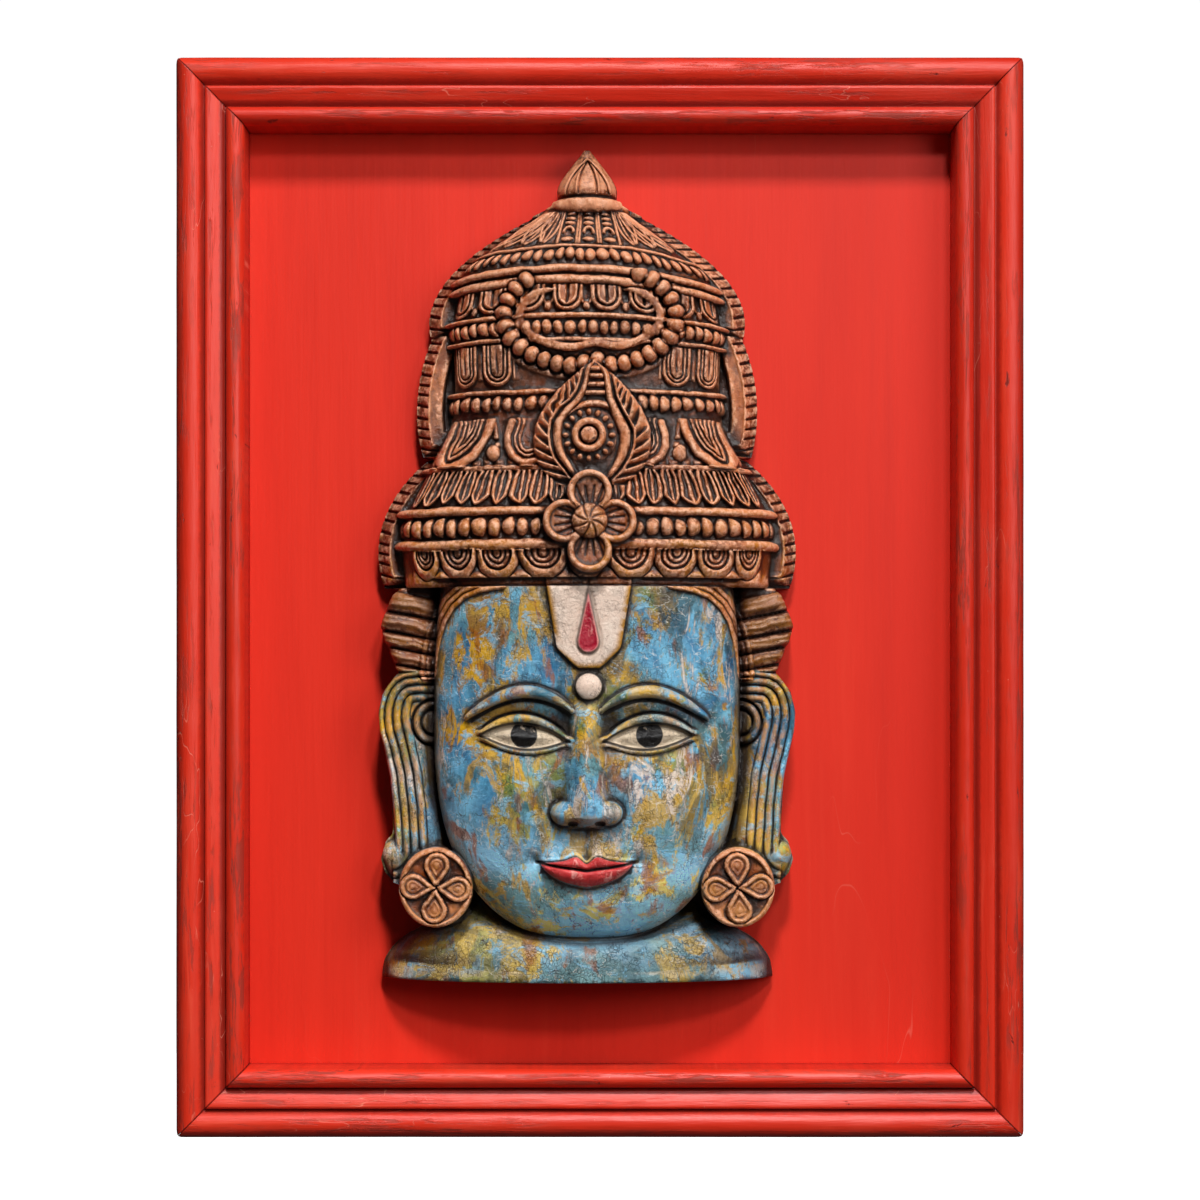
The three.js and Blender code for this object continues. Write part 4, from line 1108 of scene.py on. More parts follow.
def thin(piece, triangles):
    """Collapses edges where the surface is flattest until so many triangles are left."""
    count = sum(len(p.vertices) - 2 for p in piece.data.polygons)
    press = piece.modifiers.new("thin", "DECIMATE")
    press.ratio = triangles / count
    graph = bpy.context.evaluated_depsgraph_get()
    mesh = bpy.data.meshes.new_from_object(piece.evaluated_get(graph))
    piece.modifiers.clear()
    piece.data = mesh
    mesh.polygons.foreach_set("use_smooth", np.ones(len(mesh.polygons), bool))


def vertices_of(piece):
    """Vertex places in millimetres, as an array."""
    places = np.empty(len(piece.data.vertices) * 3)
    piece.data.vertices.foreach_get("co", places)
    return places.reshape(-1, 3) / MM


def read_grid(piece, x, z, values):
    """A grid's value at each vertex, blended between the four grid points round it."""
    at = vertices_of(piece)
    rows, cols = x.shape
    v = np.clip((at[:, 2] - z[0, 0]) / (z[1, 0] - z[0, 0]), 0, rows - 1.001)
    marks = [0, EDGE_COLUMNS, cols - 1 - EDGE_COLUMNS, cols - 1]
    lines = [np.interp(v, np.arange(rows), x[:, mark]) for mark in marks]
    u = np.zeros(len(at))
    for k in range(3):
        share = (at[:, 0] - MIDDLE - lines[k]) / np.maximum(lines[k + 1] - lines[k], 0.05)
        u += np.clip(share, 0, 1) * (marks[k + 1] - marks[k])
    u = np.minimum(u, cols - 1.001)
    i, j = v.astype(int), u.astype(int)
    fv, fu = v - i, u - j
    low = values[i, j] * (1 - fu) + values[i, j + 1] * fu
    high = values[i + 1, j] * (1 - fu) + values[i + 1, j + 1] * fu
    return low * (1 - fv) + high * fv


# Frame mouldings. INNER_FACE_HOLLOW is how sunk the face next to the board counts as, from -1 in
# a groove to 1 on a ridge, which sets how much painted shade it takes, and MITRE_SHARE is the part
# of half a rail with closer steps

CORNER_RADIUS = 6.5
INNER_FACE_HOLLOW = -0.4
MITRE_GAP = 0.3
RAIL_FRONT = 50.0
MITRE_SHARE = 0.045


def arc(at, height, half, tall, turn, steps):
    """Points of an ellipse's arc from its outer side inwards."""
    angle = np.linspace(0, turn, steps)
    return np.stack([at - half * np.cos(angle), height + tall * np.sin(angle)], axis=-1)


def moulding_section():
    """Section of a rail as (distance in from the outer edge, height), closed: a big roll, a step,
    a slope, a bead and a plain back with its rebate."""
    outer = arc(10.5, 38, 10.5, 12, 2.62, 16)
    slope = np.array([(20.4, 43.2), (21.1, 42.4), (21.9, 45.6), (22.9, 47), (24.2, 47), (27, 46),
                      (30.5, 44.2), (33.5, 42.6), (35.2, 41.4), (36.0, 39.8)])
    bead = arc(43.3, 40.2, 6.9, 8.8, 2.72, 14)
    edge = RAIL_WIDTH - REBATE - MITRE_GAP
    back = np.array([
        (RAIL_WIDTH - 0.2, 41.2), (RAIL_WIDTH, 39), (RAIL_WIDTH, 26), (RAIL_WIDTH, MASK_BACK),
        (edge, MASK_BACK), (edge, 0), (0, 0), (0, 18), (0, 32),
    ])
    return np.concatenate([outer, slope, bead, back])


def rail_steps():
    """Places along a rail from -1 to 1, closer together at the mitres."""
    even = 1 - MITRE_SHARE
    middle = np.linspace(-even, even, 150)
    ends = even + MITRE_SHARE * np.linspace(0.08, 1, 14)
    return np.concatenate([-ends[::-1], middle, ends])


def rail_piece(name, node, length, reach, turn):
    """One mitred rail: its section carried along, shortened towards the inside, with slight hand
    waves, then turned into place. Its outer corners are rounded."""
    section = moulding_section()
    steps = rail_steps()
    across, height = section[:, 0], section[:, 1]
    half = length / 2 - across - MITRE_GAP / 2
    u = steps[:, None] * half[None, :]
    t = np.repeat(across[None, :], len(steps), axis=0)
    h = np.repeat(height[None, :], len(steps), axis=0)
    seed = int(reach) + int(10 * turn)
    wave = 0.35 * lumps(u, 3 * t, 46, seed) + 0.16 * lumps(u, 3 * t, 11, seed + 1)
    shown = (h > 30) & (t < RAIL_WIDTH - 0.05) & (t > 0.05)
    h = np.minimum(np.where(shown, h + wave, h), RAIL_FRONT)
    c, s = math.cos(turn), math.sin(turn)
    v = t - reach
    x, z = round_corner(u * c - v * s, u * s + v * c)
    points = np.stack([x, h, z], axis=-1).reshape(-1, 3)
    count = len(section)
    faces = quads(len(steps), count, wrap=True)[:, ::-1].tolist()
    faces.append(list(range(count)))
    last = (len(steps) - 1) * count
    faces.append([last + i for i in reversed(range(count))])
    piece = new_piece(name, points, faces)
    fields = {
        "along": u * MM + 0.37 * turn,
        "across": t * MM,
        "mitre": np.clip((1 - np.abs(steps[:, None])) * half[None, :], 0, 30),
        "hollow": np.repeat(section_hollow(section)[None, :], len(steps), axis=0),
    }
    for field, values in fields.items():
        set_field(piece, field, values.ravel())
    return finish_piece(piece, node)


def section_hollow(section):
    """How sunk each point of the section is, from its height against the middle of its neighbours
    six millimetres either side. The inner face down to the board counts as a little sunk, so it
    takes a little of the grooves' painted shade."""
    shown = section[:, 1] > 20
    order = np.argsort(section[shown, 0])
    t, h = section[shown, 0][order], section[shown, 1][order]
    lower = np.interp(section[:, 0] - 6, t, h, left=h[0] - 14)
    upper = np.interp(section[:, 0] + 6, t, h, right=h[-1] - 14)
    hollow = np.where(shown, np.clip((section[:, 1] - (lower + upper) / 2) / 5, -1, 1.5), 0)
    return np.where(section[:, 0] > RAIL_WIDTH - 0.1, INNER_FACE_HOLLOW, hollow)


def round_corner(x, z):
    """Points past the frame's rounded corners are drawn in to the corner's circle."""
    cx, cz = FRAME_WIDTH / 2 - CORNER_RADIUS, FRAME_HEIGHT / 2 - CORNER_RADIUS
    dx, dz = np.abs(x) - cx, np.abs(z) - cz
    far = np.hypot(dx, dz)
    outside = (dx > 0) & (dz > 0) & (far > CORNER_RADIUS)
    pull = np.where(outside, CORNER_RADIUS / np.maximum(far, 1e-6), 1)
    x = np.where(outside, np.sign(x) * (cx + dx * pull), x)
    z = np.where(outside, np.sign(z) * (cz + dz * pull), z)
    return x, z


def rails():
    """The four rails of the frame, each turned by some quarters of a circle."""
    sides = {"bottom": 0, "right": 1, "top": 2, "left": -1}
    pieces = []
    for side, quarters in sides.items():
        upright = quarters % 2
        length, other = (FRAME_HEIGHT, FRAME_WIDTH) if upright else (FRAME_WIDTH, FRAME_HEIGHT)
        name, node = "moulding_" + side, "frame_rail_" + side
        pieces.append(rail_piece(name, node, length, other / 2, quarters * math.pi / 2))
    return pieces


def finish_piece(piece, node):
    """The piece rides on the one body and stands for its CAD node, which is hidden."""
    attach(piece, "root")
    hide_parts(node)
    return piece


# Shader helpers

def tint(red, green, blue):
    """A screen colour from 0 to 255 as linear light with full alpha."""
    levels = [level / 255 for level in (red, green, blue)]
    linear = [c / 12.92 if c <= 0.04045 else ((c + 0.055) / 1.055) ** 2.4 for c in levels]
    return (*linear, 1.0)


class Nodes:
    """Short ways to place and join shader nodes in one tree. A value is a number or a socket."""

    def __init__(self, tree):
        self.tree = tree

    def feed(self, node, values):
        """Sets a node's inputs to numbers, or joins them to sockets."""
        for key, value in values.items():
            socket = node.inputs[key]
            if isinstance(value, bpy.types.NodeSocket):
                self.tree.links.new(value, socket)
            else:
                socket.default_value = value
        return node

    def place(self, kind, values=None, **settings):
        """A new node with its settings and inputs. The nodes stand in rows of twelve."""
        row, column = divmod(len(self.tree.nodes), 12)
        node = self.tree.nodes.new(kind)
        node.location = (180 * column, -240 * row)
        for key, value in settings.items():
            setattr(node, key, value)
        return self.feed(node, values or {})

    def math(self, operation, a, b=0.0):
        """The result of one operation on two values."""
        return self.place("ShaderNodeMath", {0: a, 1: b}, operation=operation).outputs[0]

    def times(self, first, *others):
        """The product of all the values."""
        for other in others:
            first = self.math("MULTIPLY", first, other)
        return first

    def plus(self, first, *others):
        """The sum of all the values."""
        for other in others:
            first = self.math("ADD", first, other)
        return first

    def less(self, a, b):
        """The first value less the second."""
        return self.math("SUBTRACT", a, b)

    def line(self, value, slope, start):
        """A start plus a slope times a value."""
        return self.plus(start, self.times(value, slope))

    def ramp(self, value, low, high):
        """0 at low and 1 at high, smooth between."""
        values = {0: value, 1: low, 2: high, 3: 0.0, 4: 1.0}
        node = self.place("ShaderNodeMapRange", clamp=True, interpolation_type="SMOOTHSTEP")
        return self.feed(node, values).outputs[0]

    def mix(self, share, a, b):
        """A colour between a at share 0 and b at share 1."""
        node = self.place("ShaderNodeMix", data_type="RGBA", clamp_factor=True)
        return self.feed(node, {0: share, 6: a, 7: b}).outputs[2]

    def coats(self, colour, *layers):
        """A colour with coats of paint over it. Each is its screen values and then its masks and
        strengths, whose product says how much of it shows."""
        for paint, *masks in layers:
            colour = self.mix(self.times(*masks), colour, tint(*paint))
        return colour

    def noise(self, vector, scale, detail=4.0, roughness=0.55, distortion=0.0):
        """Noise from 0 to 1, mostly near a half."""
        values = {"Vector": vector, "Scale": scale, "Detail": detail, "Roughness": roughness}
        values["Distortion"] = distortion
        return self.place("ShaderNodeTexNoise", values).outputs[0]

    def moved(self, vector, size=(1, 1, 1), shift=(0, 0, 0), turn=(0, 0, 0)):
        """A vector scaled, turned and shifted, so that a texture is drawn out along its axes."""
        values = {"Vector": vector, "Scale": size, "Location": shift, "Rotation": turn}
        return self.place("ShaderNodeMapping", values).outputs[0]

    def drawn(self, vector, share, shift=(0, 0, 0)):
        """A vector that draws a texture out along x."""
        return self.moved(vector, (share, 1, 1), shift)

    def part(self, vector, axis):
        """One coordinate of a vector."""
        return self.place("ShaderNodeSeparateXYZ", {0: vector}).outputs[axis]

    def field(self, name):
        """The mesh's own number of that name at each place."""
        return self.place("ShaderNodeAttribute", attribute_name=name).outputs["Fac"]

    def group(self, tree, *values):
        """The outputs of a group whose inputs take the values in order. The others keep its own."""
        return self.place("ShaderNodeGroup", node_tree=tree, values=dict(enumerate(values))).outputs

    def mask(self, tree, *values):
        """A group's first output."""
        return self.group(tree, *values)[0]

    def patch(self, *values):
        """The mask of worn patches, from a vector, scale, level, softness, warp and roughness."""
        return self.mask(PATCHES, *values)

    def bump(self, height, distance, strength):
        """A normal tilted by a height."""
        values = {"Height": height, "Distance": distance, "Strength": strength}
        return self.place("ShaderNodeBump", values).outputs[0]


# Effects that more than one paint uses, each a group with a vector and its own values, which a
# paint gives in the order of the effect's arguments

def new_group(name, effect, **defaults):
    """A shader group with a vector input and one input for each default. The effect works out
    its outputs from them."""
    tree = bpy.data.node_groups.new(name, "ShaderNodeTree")
    socket = tree.interface.new_socket
    socket(name="Vector", in_out="INPUT", socket_type="NodeSocketVector")
    for label, value in defaults.items():
        socket(name=label, in_out="INPUT", socket_type="NodeSocketFloat").default_value = value
    n = Nodes(tree)
    given = n.place("NodeGroupInput").outputs
    made = effect(n, *[given[k] for k in range(len(defaults) + 1)])
    for label in made:
        socket(name=label, in_out="OUTPUT", socket_type="NodeSocketFloat")
    n.place("NodeGroupOutput", made)
    return tree


def worn_patches(n, vector, scale, level, softness, warp, roughness):
    """Uneven noise, cut at a level with a soft edge."""
    value = n.noise(vector, scale, 7.0, roughness, warp)
    return {"Mask": n.ramp(value, n.less(level, softness), n.plus(level, softness))}


def broken_lines(n, distance, width, where, gate, amount):
    """Lines where a distance is under a width, kept where noise is past a gate less an amount."""
    line = n.less(1.0, n.ramp(distance, 0.0, width))
    kept = n.ramp(where, n.less(gate[0], amount), n.less(gate[1], amount))
    return {"Mask": n.times(line, kept)}


def scratches(n, vector, scale, width, amount):
    """The narrow band where noise crosses its middle."""
    off = n.math("ABSOLUTE", n.less(n.noise(vector, scale, 2.0, 0.5, 0.3), 0.5))
    where = n.noise(vector, n.times(scale, 0.31), 2.0)
    return broken_lines(n, off, width, where, (1.0, 1.08), amount)


def crackle(n, vector, scale, width, amount):
    """The thin gaps between cells, warped a little so that they aren't straight."""
    warp = n.place("ShaderNodeTexNoise", {"Vector": vector, "Scale": 140.0, "Detail": 3.0})
    values = {0: warp.outputs[1], 1: (0.006, 0.006, 0.006), 2: vector}
    moved = n.place("ShaderNodeVectorMath", operation="MULTIPLY_ADD", values=values).outputs[0]
    cells = n.place("ShaderNodeTexVoronoi", feature="DISTANCE_TO_EDGE")
    n.feed(cells, {"Vector": moved, "Scale": scale})
    where = n.noise(vector, n.times(scale, 0.12), 4.0, 0.6)
    return broken_lines(n, cells.outputs["Distance"], width, where, (0.95, 1.1), amount)


def wood_grain(n, vector, scale):
    """Streaks of two widths, from noise whose vector is drawn out beforehand."""
    fine = n.noise(vector, n.times(scale, 4.2), 4.0, 0.65, 0.2)
    return {"Grain": n.noise(vector, scale, 5.0, 0.6, 0.8), "Fine": fine}


def dirt_and_shade(n, vector, hollow, level, softness, breakup):
    """Dirt and painted shade where a surface is sunk: hollow depth plus some noise, cut at a level."""
    uneven = n.times(n.less(n.noise(vector, 190.0, 5.0, 0.65), 0.5), breakup)
    depth = n.plus(n.times(hollow, -1.0), uneven)
    return {"Mask": n.ramp(depth, n.less(level, softness), n.plus(level, softness))}


PATCHES = new_group("worn patches", worn_patches, Scale=20.0, Level=0.5, Softness=0.04, Warp=0.4,
                    Roughness=0.6)
SCRATCHES = new_group("scratches", scratches, Scale=60.0, Width=0.006, Amount=0.5)
CRACKLE = new_group("crackle", crackle, Scale=300.0, Width=0.05, Amount=0.5)
GRAIN = new_group("grain", wood_grain, Scale=90.0)
DIRT_AND_SHADE = new_group("dirt_and_shade", dirt_and_shade, Hollow=0.0, Level=0.0, Softness=0.4, Breakup=0.5)


def new_material(name):
    """A material with one Principled shader, and the helper for its nodes."""
    material = bpy.data.materials.new(name)
    material.use_nodes = True
    material.node_tree.nodes.clear()
    n = Nodes(material.node_tree)
    shader = n.place("ShaderNodeBsdfPrincipled")
    n.place("ShaderNodeOutputMaterial", {0: shader.outputs[0]})
    return material, n, shader


# Red paint of the frame and the board

def red_paint(n, vector, hollow):
    """Vermilion that varies in broad streaks, worn to brown in long thin strokes on the raised
    parts, darker in grooves from soiling and painted shade, with pale scratches. Gives its
    colour, roughness and height."""
    wear = n.ramp(hollow, -0.2, 1.0)
    grain, fine = n.group(GRAIN, n.drawn(vector, 0.06), 150.0)[:2]
    tone = n.noise(n.drawn(vector, 0.02, (3.1, 0.4, 0.0)), 22.0, 5.0, 0.6, 0.3)
    strokes = n.patch(n.drawn(vector, 0.10), 240.0, n.line(wear, -0.06, 0.60), 0.05, 0.3, 0.7)
    where = n.patch(n.drawn(vector, 0.3), 18.0, n.line(wear, -0.08, 0.56), 0.10)
    worn = n.times(strokes, where, n.math("MINIMUM", n.plus(wear, 0.2), 1.0))
    pale = n.times(n.mask(SCRATCHES, n.drawn(vector, 0.25), 70.0, 0.006, 0.45), 0.5)
    dark = n.times(n.patch(n.drawn(vector, 0.4), 120.0, 0.70, 0.02), 0.75)
    colour = n.coats(
        n.mix(n.ramp(tone, 0.3, 0.7), tint(206, 36, 16), tint(242, 56, 28)),
        ((250, 92, 62), n.ramp(grain, 0.5, 0.75), 0.3),
        ((240, 100, 76), n.patch(vector, 9.0, 0.6, 0.12), 0.15),
        ((120, 50, 38), worn, 0.62),
        # Dark red in the grooves: soiling with painted shade.
        ((104, 12, 8), n.mask(DIRT_AND_SHADE, vector, hollow, 0.45, 0.35, 0.5), 0.66),
        # Near black where the hollow value is under -1.05: painted shade in the deepest grooves.
        ((60, 8, 6), n.ramp(hollow, -1.05, -1.25), 0.55),
        ((252, 150, 124), pale),
        ((250, 176, 150), n.patch(vector, 190.0, 0.735, 0.02), 0.8),
        ((76, 18, 14), dark),
    )
    rough = n.plus(n.line(grain, 0.22, 0.32), n.times(worn, 0.15))
    marks = n.plus(worn, n.plus(dark, pale))
    return colour, rough, n.less(n.plus(grain, n.times(fine, 0.5)), n.times(marks, 0.5))


def frame_paint():
    """Red paint with strokes along each rail, worn on the raised parts and dark in the mitres."""
    material, n, shader = new_material("frame_paint")
    hollow = n.field("hollow")
    place = n.place("ShaderNodeCombineXYZ", {0: n.field("along"), 1: n.field("across"), 2: hollow})
    vector = n.moved(place.outputs[0], (1.0, 1.0, 0.004))
    colour, rough, height = red_paint(n, vector, hollow)
    mitre = n.less(1.0, n.ramp(n.field("mitre"), 0.0, 1.1))
    colour = n.coats(colour, ((96, 10, 8), mitre, 0.75))
    normal = n.bump(height, 0.0006, 0.7)
    n.feed(shader, {"Base Color": colour, "Roughness": rough, "Normal": normal})
    return material


def board_paint():
    """Flatter red paint with faint brush strokes up and down the board."""
    material, n, shader = new_material("board_paint")
    vector = n.moved(n.place("ShaderNodeTexCoord").outputs["Object"], turn=(0, math.pi / 2, 0))
    drawn = n.drawn(vector, 0.05)
    tone = n.noise(n.drawn(vector, 0.12), 11.0, 6.0, 0.6, 0.3)
    streak = n.noise(drawn, 46.0, 5.0, 0.62, 0.4)
    colour = n.coats(
        n.mix(n.ramp(tone, 0.3, 0.72), tint(222, 40, 20), tint(236, 48, 26)),
        ((242, 72, 46), n.ramp(streak, 0.52, 0.8), 0.22),
        ((196, 30, 16), n.ramp(streak, 0.48, 0.25), 0.28),
        ((248, 140, 118), n.mask(SCRATCHES, n.drawn(vector, 0.3), 24.0, 0.0035, 0.40), 0.35),
        ((248, 150, 130), n.patch(vector, 150.0, 0.765, 0.015), 0.6),
    )
    normal = n.bump(n.noise(drawn, 260.0, 4.0, 0.6), 0.0004, 0.5)
    rough = n.line(streak, 0.16, 0.50)
    n.feed(shader, {"Base Color": colour, "Roughness": rough, "Normal": normal})
    shader.inputs["Specular IOR Level"].default_value = 0.3
    return material


# Mask paint and wood

def carved_wood(n, vector, up):
    """Dark brown wood: nearly black in the cuts, from soiling and painted shade, tan on the raised
    parts, mottled all over, with grain running up, ochre rubbed over the lower bands, pale worn
    edges with a painted highlight, and a painted highlight on the crown's top rows."""
    grain = n.mask(GRAIN, n.moved(vector, (1.0, 1.0, 0.22)), 120.0)
    mottle = n.noise(vector, 260.0, 5.0, 0.7, 0.4)
    cavity = n.field("cavity")
    uneven = n.plus(n.times(n.less(grain, 0.5), 1.2), n.times(n.less(mottle, 0.5), 1.9))
    level = n.plus(n.field("hollow"), uneven)
    low = n.times(n.ramp(up, 0.085, 0.03), n.ramp(level, -0.1, 0.5))
    # Raised parts of the crown's top rows, to be painted lighter: a painted highlight from the light
    # above.
    high = n.times(n.ramp(up, 0.20, 0.27), n.ramp(level, -0.3, 0.4))
    edges = n.times(n.ramp(cavity, 0.12, 0.75), n.ramp(mottle, 0.42, 0.58))
    disc = n.ramp(n.field("earring"), -0.4, 0.6)
    pits = n.times(n.patch(vector, 330.0, 0.66, 0.03), 0.75)
    colour = n.coats(
        # Darker in the hollows: soiled wood with painted shade.
        n.mix(n.ramp(level, -0.8, 0.2), tint(44, 25, 17), tint(124, 76, 54)),
        ((208, 138, 98), n.ramp(level, 0.0, 0.95)),
        ((182, 92, 42), n.patch(vector, 26.0, 0.52, 0.10), 0.4),
        ((88, 58, 50), n.patch(n.moved(vector, shift=(0.4, 0.1, 0.8)), 22.0, 0.56, 0.08), 0.4),
        ((184, 122, 40), low, n.patch(vector, 34.0, 0.5, 0.10), 0.6),
        # Pale on fine ridges: worn edges with a painted highlight.
        ((244, 192, 160), edges, 0.7),
        ((206, 148, 108), n.ramp(level, -0.2, 0.8), 0.3, disc),
        # Near black in fine cuts and dark brown in broad hollows: soiling with painted shade.
        ((26, 14, 10), n.mask(DIRT_AND_SHADE, vector, cavity, 0.42, 0.35, 0.6), 0.85),
        ((42, 25, 19), n.mask(DIRT_AND_SHADE, vector, n.field("shade"), 0.45, 0.4, 0.5), 0.55),
        # Painted highlight on the crown's top rows.
        ((236, 172, 136), high, 0.6),
        ((62, 38, 28), n.ramp(n.field("coil"), -1.0, 1.0), 0.5),
        ((44, 25, 19), pits),
    )
    height = n.less(n.plus(n.times(grain, 0.8), n.times(mottle, 2.0)), n.times(pits, 0.6))
    return colour, n.line(mottle, 0.34, 0.16), height


def layers_of_blue(n, vector, upright, level, ear, low, other):
    """Olive and ochre below, and blue over much of it but less on the ears, both paler on the chin
    and neck as painted light. Gives the colour and the mask of the blue."""
    drift = n.moved(vector, (1.0, 1.0, 0.6), (0.1, 0.9, 0.4))
    tone = n.ramp(n.noise(drift, 30.0, 6.0, 0.65, 0.6), 0.34, 0.66)
    ochre = n.patch(upright, 26.0, n.line(other, 0.8, 0.50), 0.06)
    under = n.coats(
        n.mix(ochre, tint(104, 128, 60), tint(222, 170, 56)),
        ((134, 82, 44), n.patch(level, 33.0, 0.54, 0.06), 0.8),
        ((196, 180, 128), tone, 0.35),
        # Paler under paint on the chin and neck: painted light.
        ((244, 226, 140), low, 0.7),
    )
    blue = n.mix(tone, tint(40, 104, 150), tint(136, 206, 238))
    # Paler blue on the chin and neck: painted light.
    blue = n.coats(blue, ((176, 228, 252), low, 0.75))
    teal = n.mix(tone, tint(62, 100, 84), tint(128, 164, 146))
    blue = n.mix(n.times(n.patch(vector, 15.0, 0.50, 0.08), 0.65), blue, teal)
    broad = n.less(n.noise(vector, 13.0, 2.0), 0.5)
    bound = n.plus(n.line(broad, 0.7, 0.50), n.times(ear, 0.05), n.times(low, -0.07))
    cover = n.patch(upright, 24.0, bound, 0.03, 0.9, 0.74)
    return n.mix(cover, under, blue), cover


def blue_paint(n, vector, up):
    """Layers of rubbed paint with cream and orange scrapes, dark cracks, pale squiggles as painted
    glints, and darkening where the surface is sunk, from soiling and painted shade. The chin and
    neck are painted lighter and less shaded, as painted light."""
    edge, cavity = n.field("edge"), n.field("cavity")
    # low marks the chin and neck, which get paler paint and less of the rim, dark patches and sunk
    # darkening: painted light where the lower face turns down into shade.
    low = n.ramp(up, -0.13, -0.205)
    low = n.plus(n.times(low, 0.5), n.times(low, n.ramp(edge, -1.0, 1.0), 0.5))
    ear = n.ramp(n.field("ear"), 0.0, 3.0)
    upright = n.moved(vector, (1.0, 1.0, 0.5))
    level = n.moved(vector, (0.5, 1.0, 1.0), (0.3, 0.0, 0.7))
    slanted = n.moved(vector, (1.0, 1.0, 0.35), turn=(0.0, 0.5, 0.0))
    other = n.less(n.noise(n.moved(vector, shift=(0.5, 0.2, 0.1)), 11.0, 2.0), 0.5)
    colour, cover = layers_of_blue(n, vector, upright, level, ear, low, other)
    strokes = n.patch(level, 80.0, 0.575, 0.03, 0.7, 0.7)
    gold = n.plus(n.line(other, -0.3, 0.575), n.times(ear, -0.03))
    gold = n.patch(n.moved(vector, (1, 1, 0.5), (0.6, 0.2, 0.9)), 40.0, gold, 0.03, 0.6, 0.7)
    cream = n.times(n.patch(slanted, 64.0, n.line(other, -0.45, 0.59), 0.04, 1.2, 0.78), 0.85)
    dusk = n.patch(n.moved(vector, (0.8, 1, 0.5), (0.7, 0.5, 0.2)), 36.0, 0.55, 0.06, 0.8, 0.7)
    rim = n.times(n.ramp(edge, 7.5, 0.5), n.ramp(ear, 0.9, 0.1))
    colour = n.coats(
        colour,
        ((140, 202, 234), strokes, 0.7),
        ((164, 96, 48), n.patch(upright, 50.0, 0.60, 0.04), 0.8),
        ((214, 166, 56), gold, 0.8),
        ((232, 214, 200), cream),
        ((36, 66, 66), dusk, n.line(low, -0.4, 0.72)),
        # Pale squiggles: painted glints of light on the varnish.
        ((236, 230, 220), n.mask(SCRATCHES, level, 170.0, 0.018, 0.52), 0.6),
        ((74, 60, 34), rim, n.line(low, -0.3, 0.5)),
    )
    rubbed = n.times(n.ramp(cavity, 0.2, 0.75), n.patch(vector, 60.0, 0.46, 0.08))
    bare = n.mix(ear, tint(196, 178, 150), tint(204, 146, 92))
    colour = n.mix(n.times(rubbed, n.line(ear, 0.3, 0.45)), colour, bare)
    cracks = n.mask(CRACKLE, vector, 330.0, 0.09, 0.50)
    chips = n.patch(vector, 130.0, 0.67, 0.02, 0.9, 0.7)
    hollow_dirt_and_shade = n.mask(DIRT_AND_SHADE, vector, n.field("hollow"), 0.30, 0.42, 0.8)
    deep = n.mask(DIRT_AND_SHADE, vector, n.field("shade"), 0.30, 0.45, 0.6)
    colour = n.coats(
        colour,
        ((44, 34, 32), cracks, 0.6),
        ((54, 40, 34), n.mask(SCRATCHES, slanted, 120.0, 0.012, 0.54), 0.7),
        ((66, 46, 36), chips, 0.8),
        # Dark in hollows, broad and fine: soiling with painted shade, weaker on the chin and neck as
        # painted light.
        ((48, 34, 27), hollow_dirt_and_shade, n.line(low, -0.6, 0.8)),
        ((46, 34, 27), deep, n.line(low, -0.65, 0.75)),
        ((28, 20, 18), n.mask(DIRT_AND_SHADE, vector, cavity, 0.42, 0.3, 0.4), 0.85),
    )
    rough = n.line(n.noise(vector, 150.0, 5.0, 0.6), 0.34, 0.18)
    raised = n.plus(n.times(strokes, 0.4), n.times(cream, -0.7), n.times(cover, 0.35))
    raised = n.less(raised, n.plus(chips, n.times(cracks, 0.7)))
    return colour, rough, n.plus(raised, n.times(n.noise(vector, 300.0, 5.0, 0.7), 1.7))


def painted_lips(n, vector, colour, scuffs):
    """Red lips with a dark outline and a darker line where they meet."""
    lip = n.field("lip")
    red = n.mix(n.noise(vector, 90.0, 5.0, 0.6), tint(156, 34, 40), tint(208, 88, 86))
    red = n.coats(red, ((232, 170, 160), scuffs, 0.6))
    colour = n.coats(colour, ((36, 24, 22), n.ramp(lip, -2.6, -0.2), 0.7))
    colour = n.mix(n.ramp(lip, -0.3, 0.3), colour, red)
    return n.coats(colour, ((34, 10, 12), n.ramp(n.field("seam"), -0.2, 0.5)))


def painted_eyes(n, vector, colour, worn, curls):
    """Pale eyes with a black outline and a black iris, scuffed and crazed."""
    eye = n.field("eye")
    colour = n.coats(colour, ((20, 15, 15), n.ramp(eye, -2.4, -1.4), 0.94))
    white = n.coats(
        n.mix(n.noise(vector, 110.0, 5.0, 0.6), tint(176, 152, 126), tint(226, 210, 184)),
        ((58, 44, 40), worn, 0.8),
        ((92, 72, 62), curls, 0.5),
    )
    chips = n.patch(vector, 120.0, 0.66, 0.03)
    black = n.coats(tint(12, 10, 11), ((190, 172, 150), chips, 0.9))
    within = n.times(n.ramp(n.field("iris"), -0.2, 0.5), n.ramp(eye, -0.1, 0.6))
    return n.mix(within, n.mix(n.ramp(eye, -0.3, 0.5), colour, white), black)


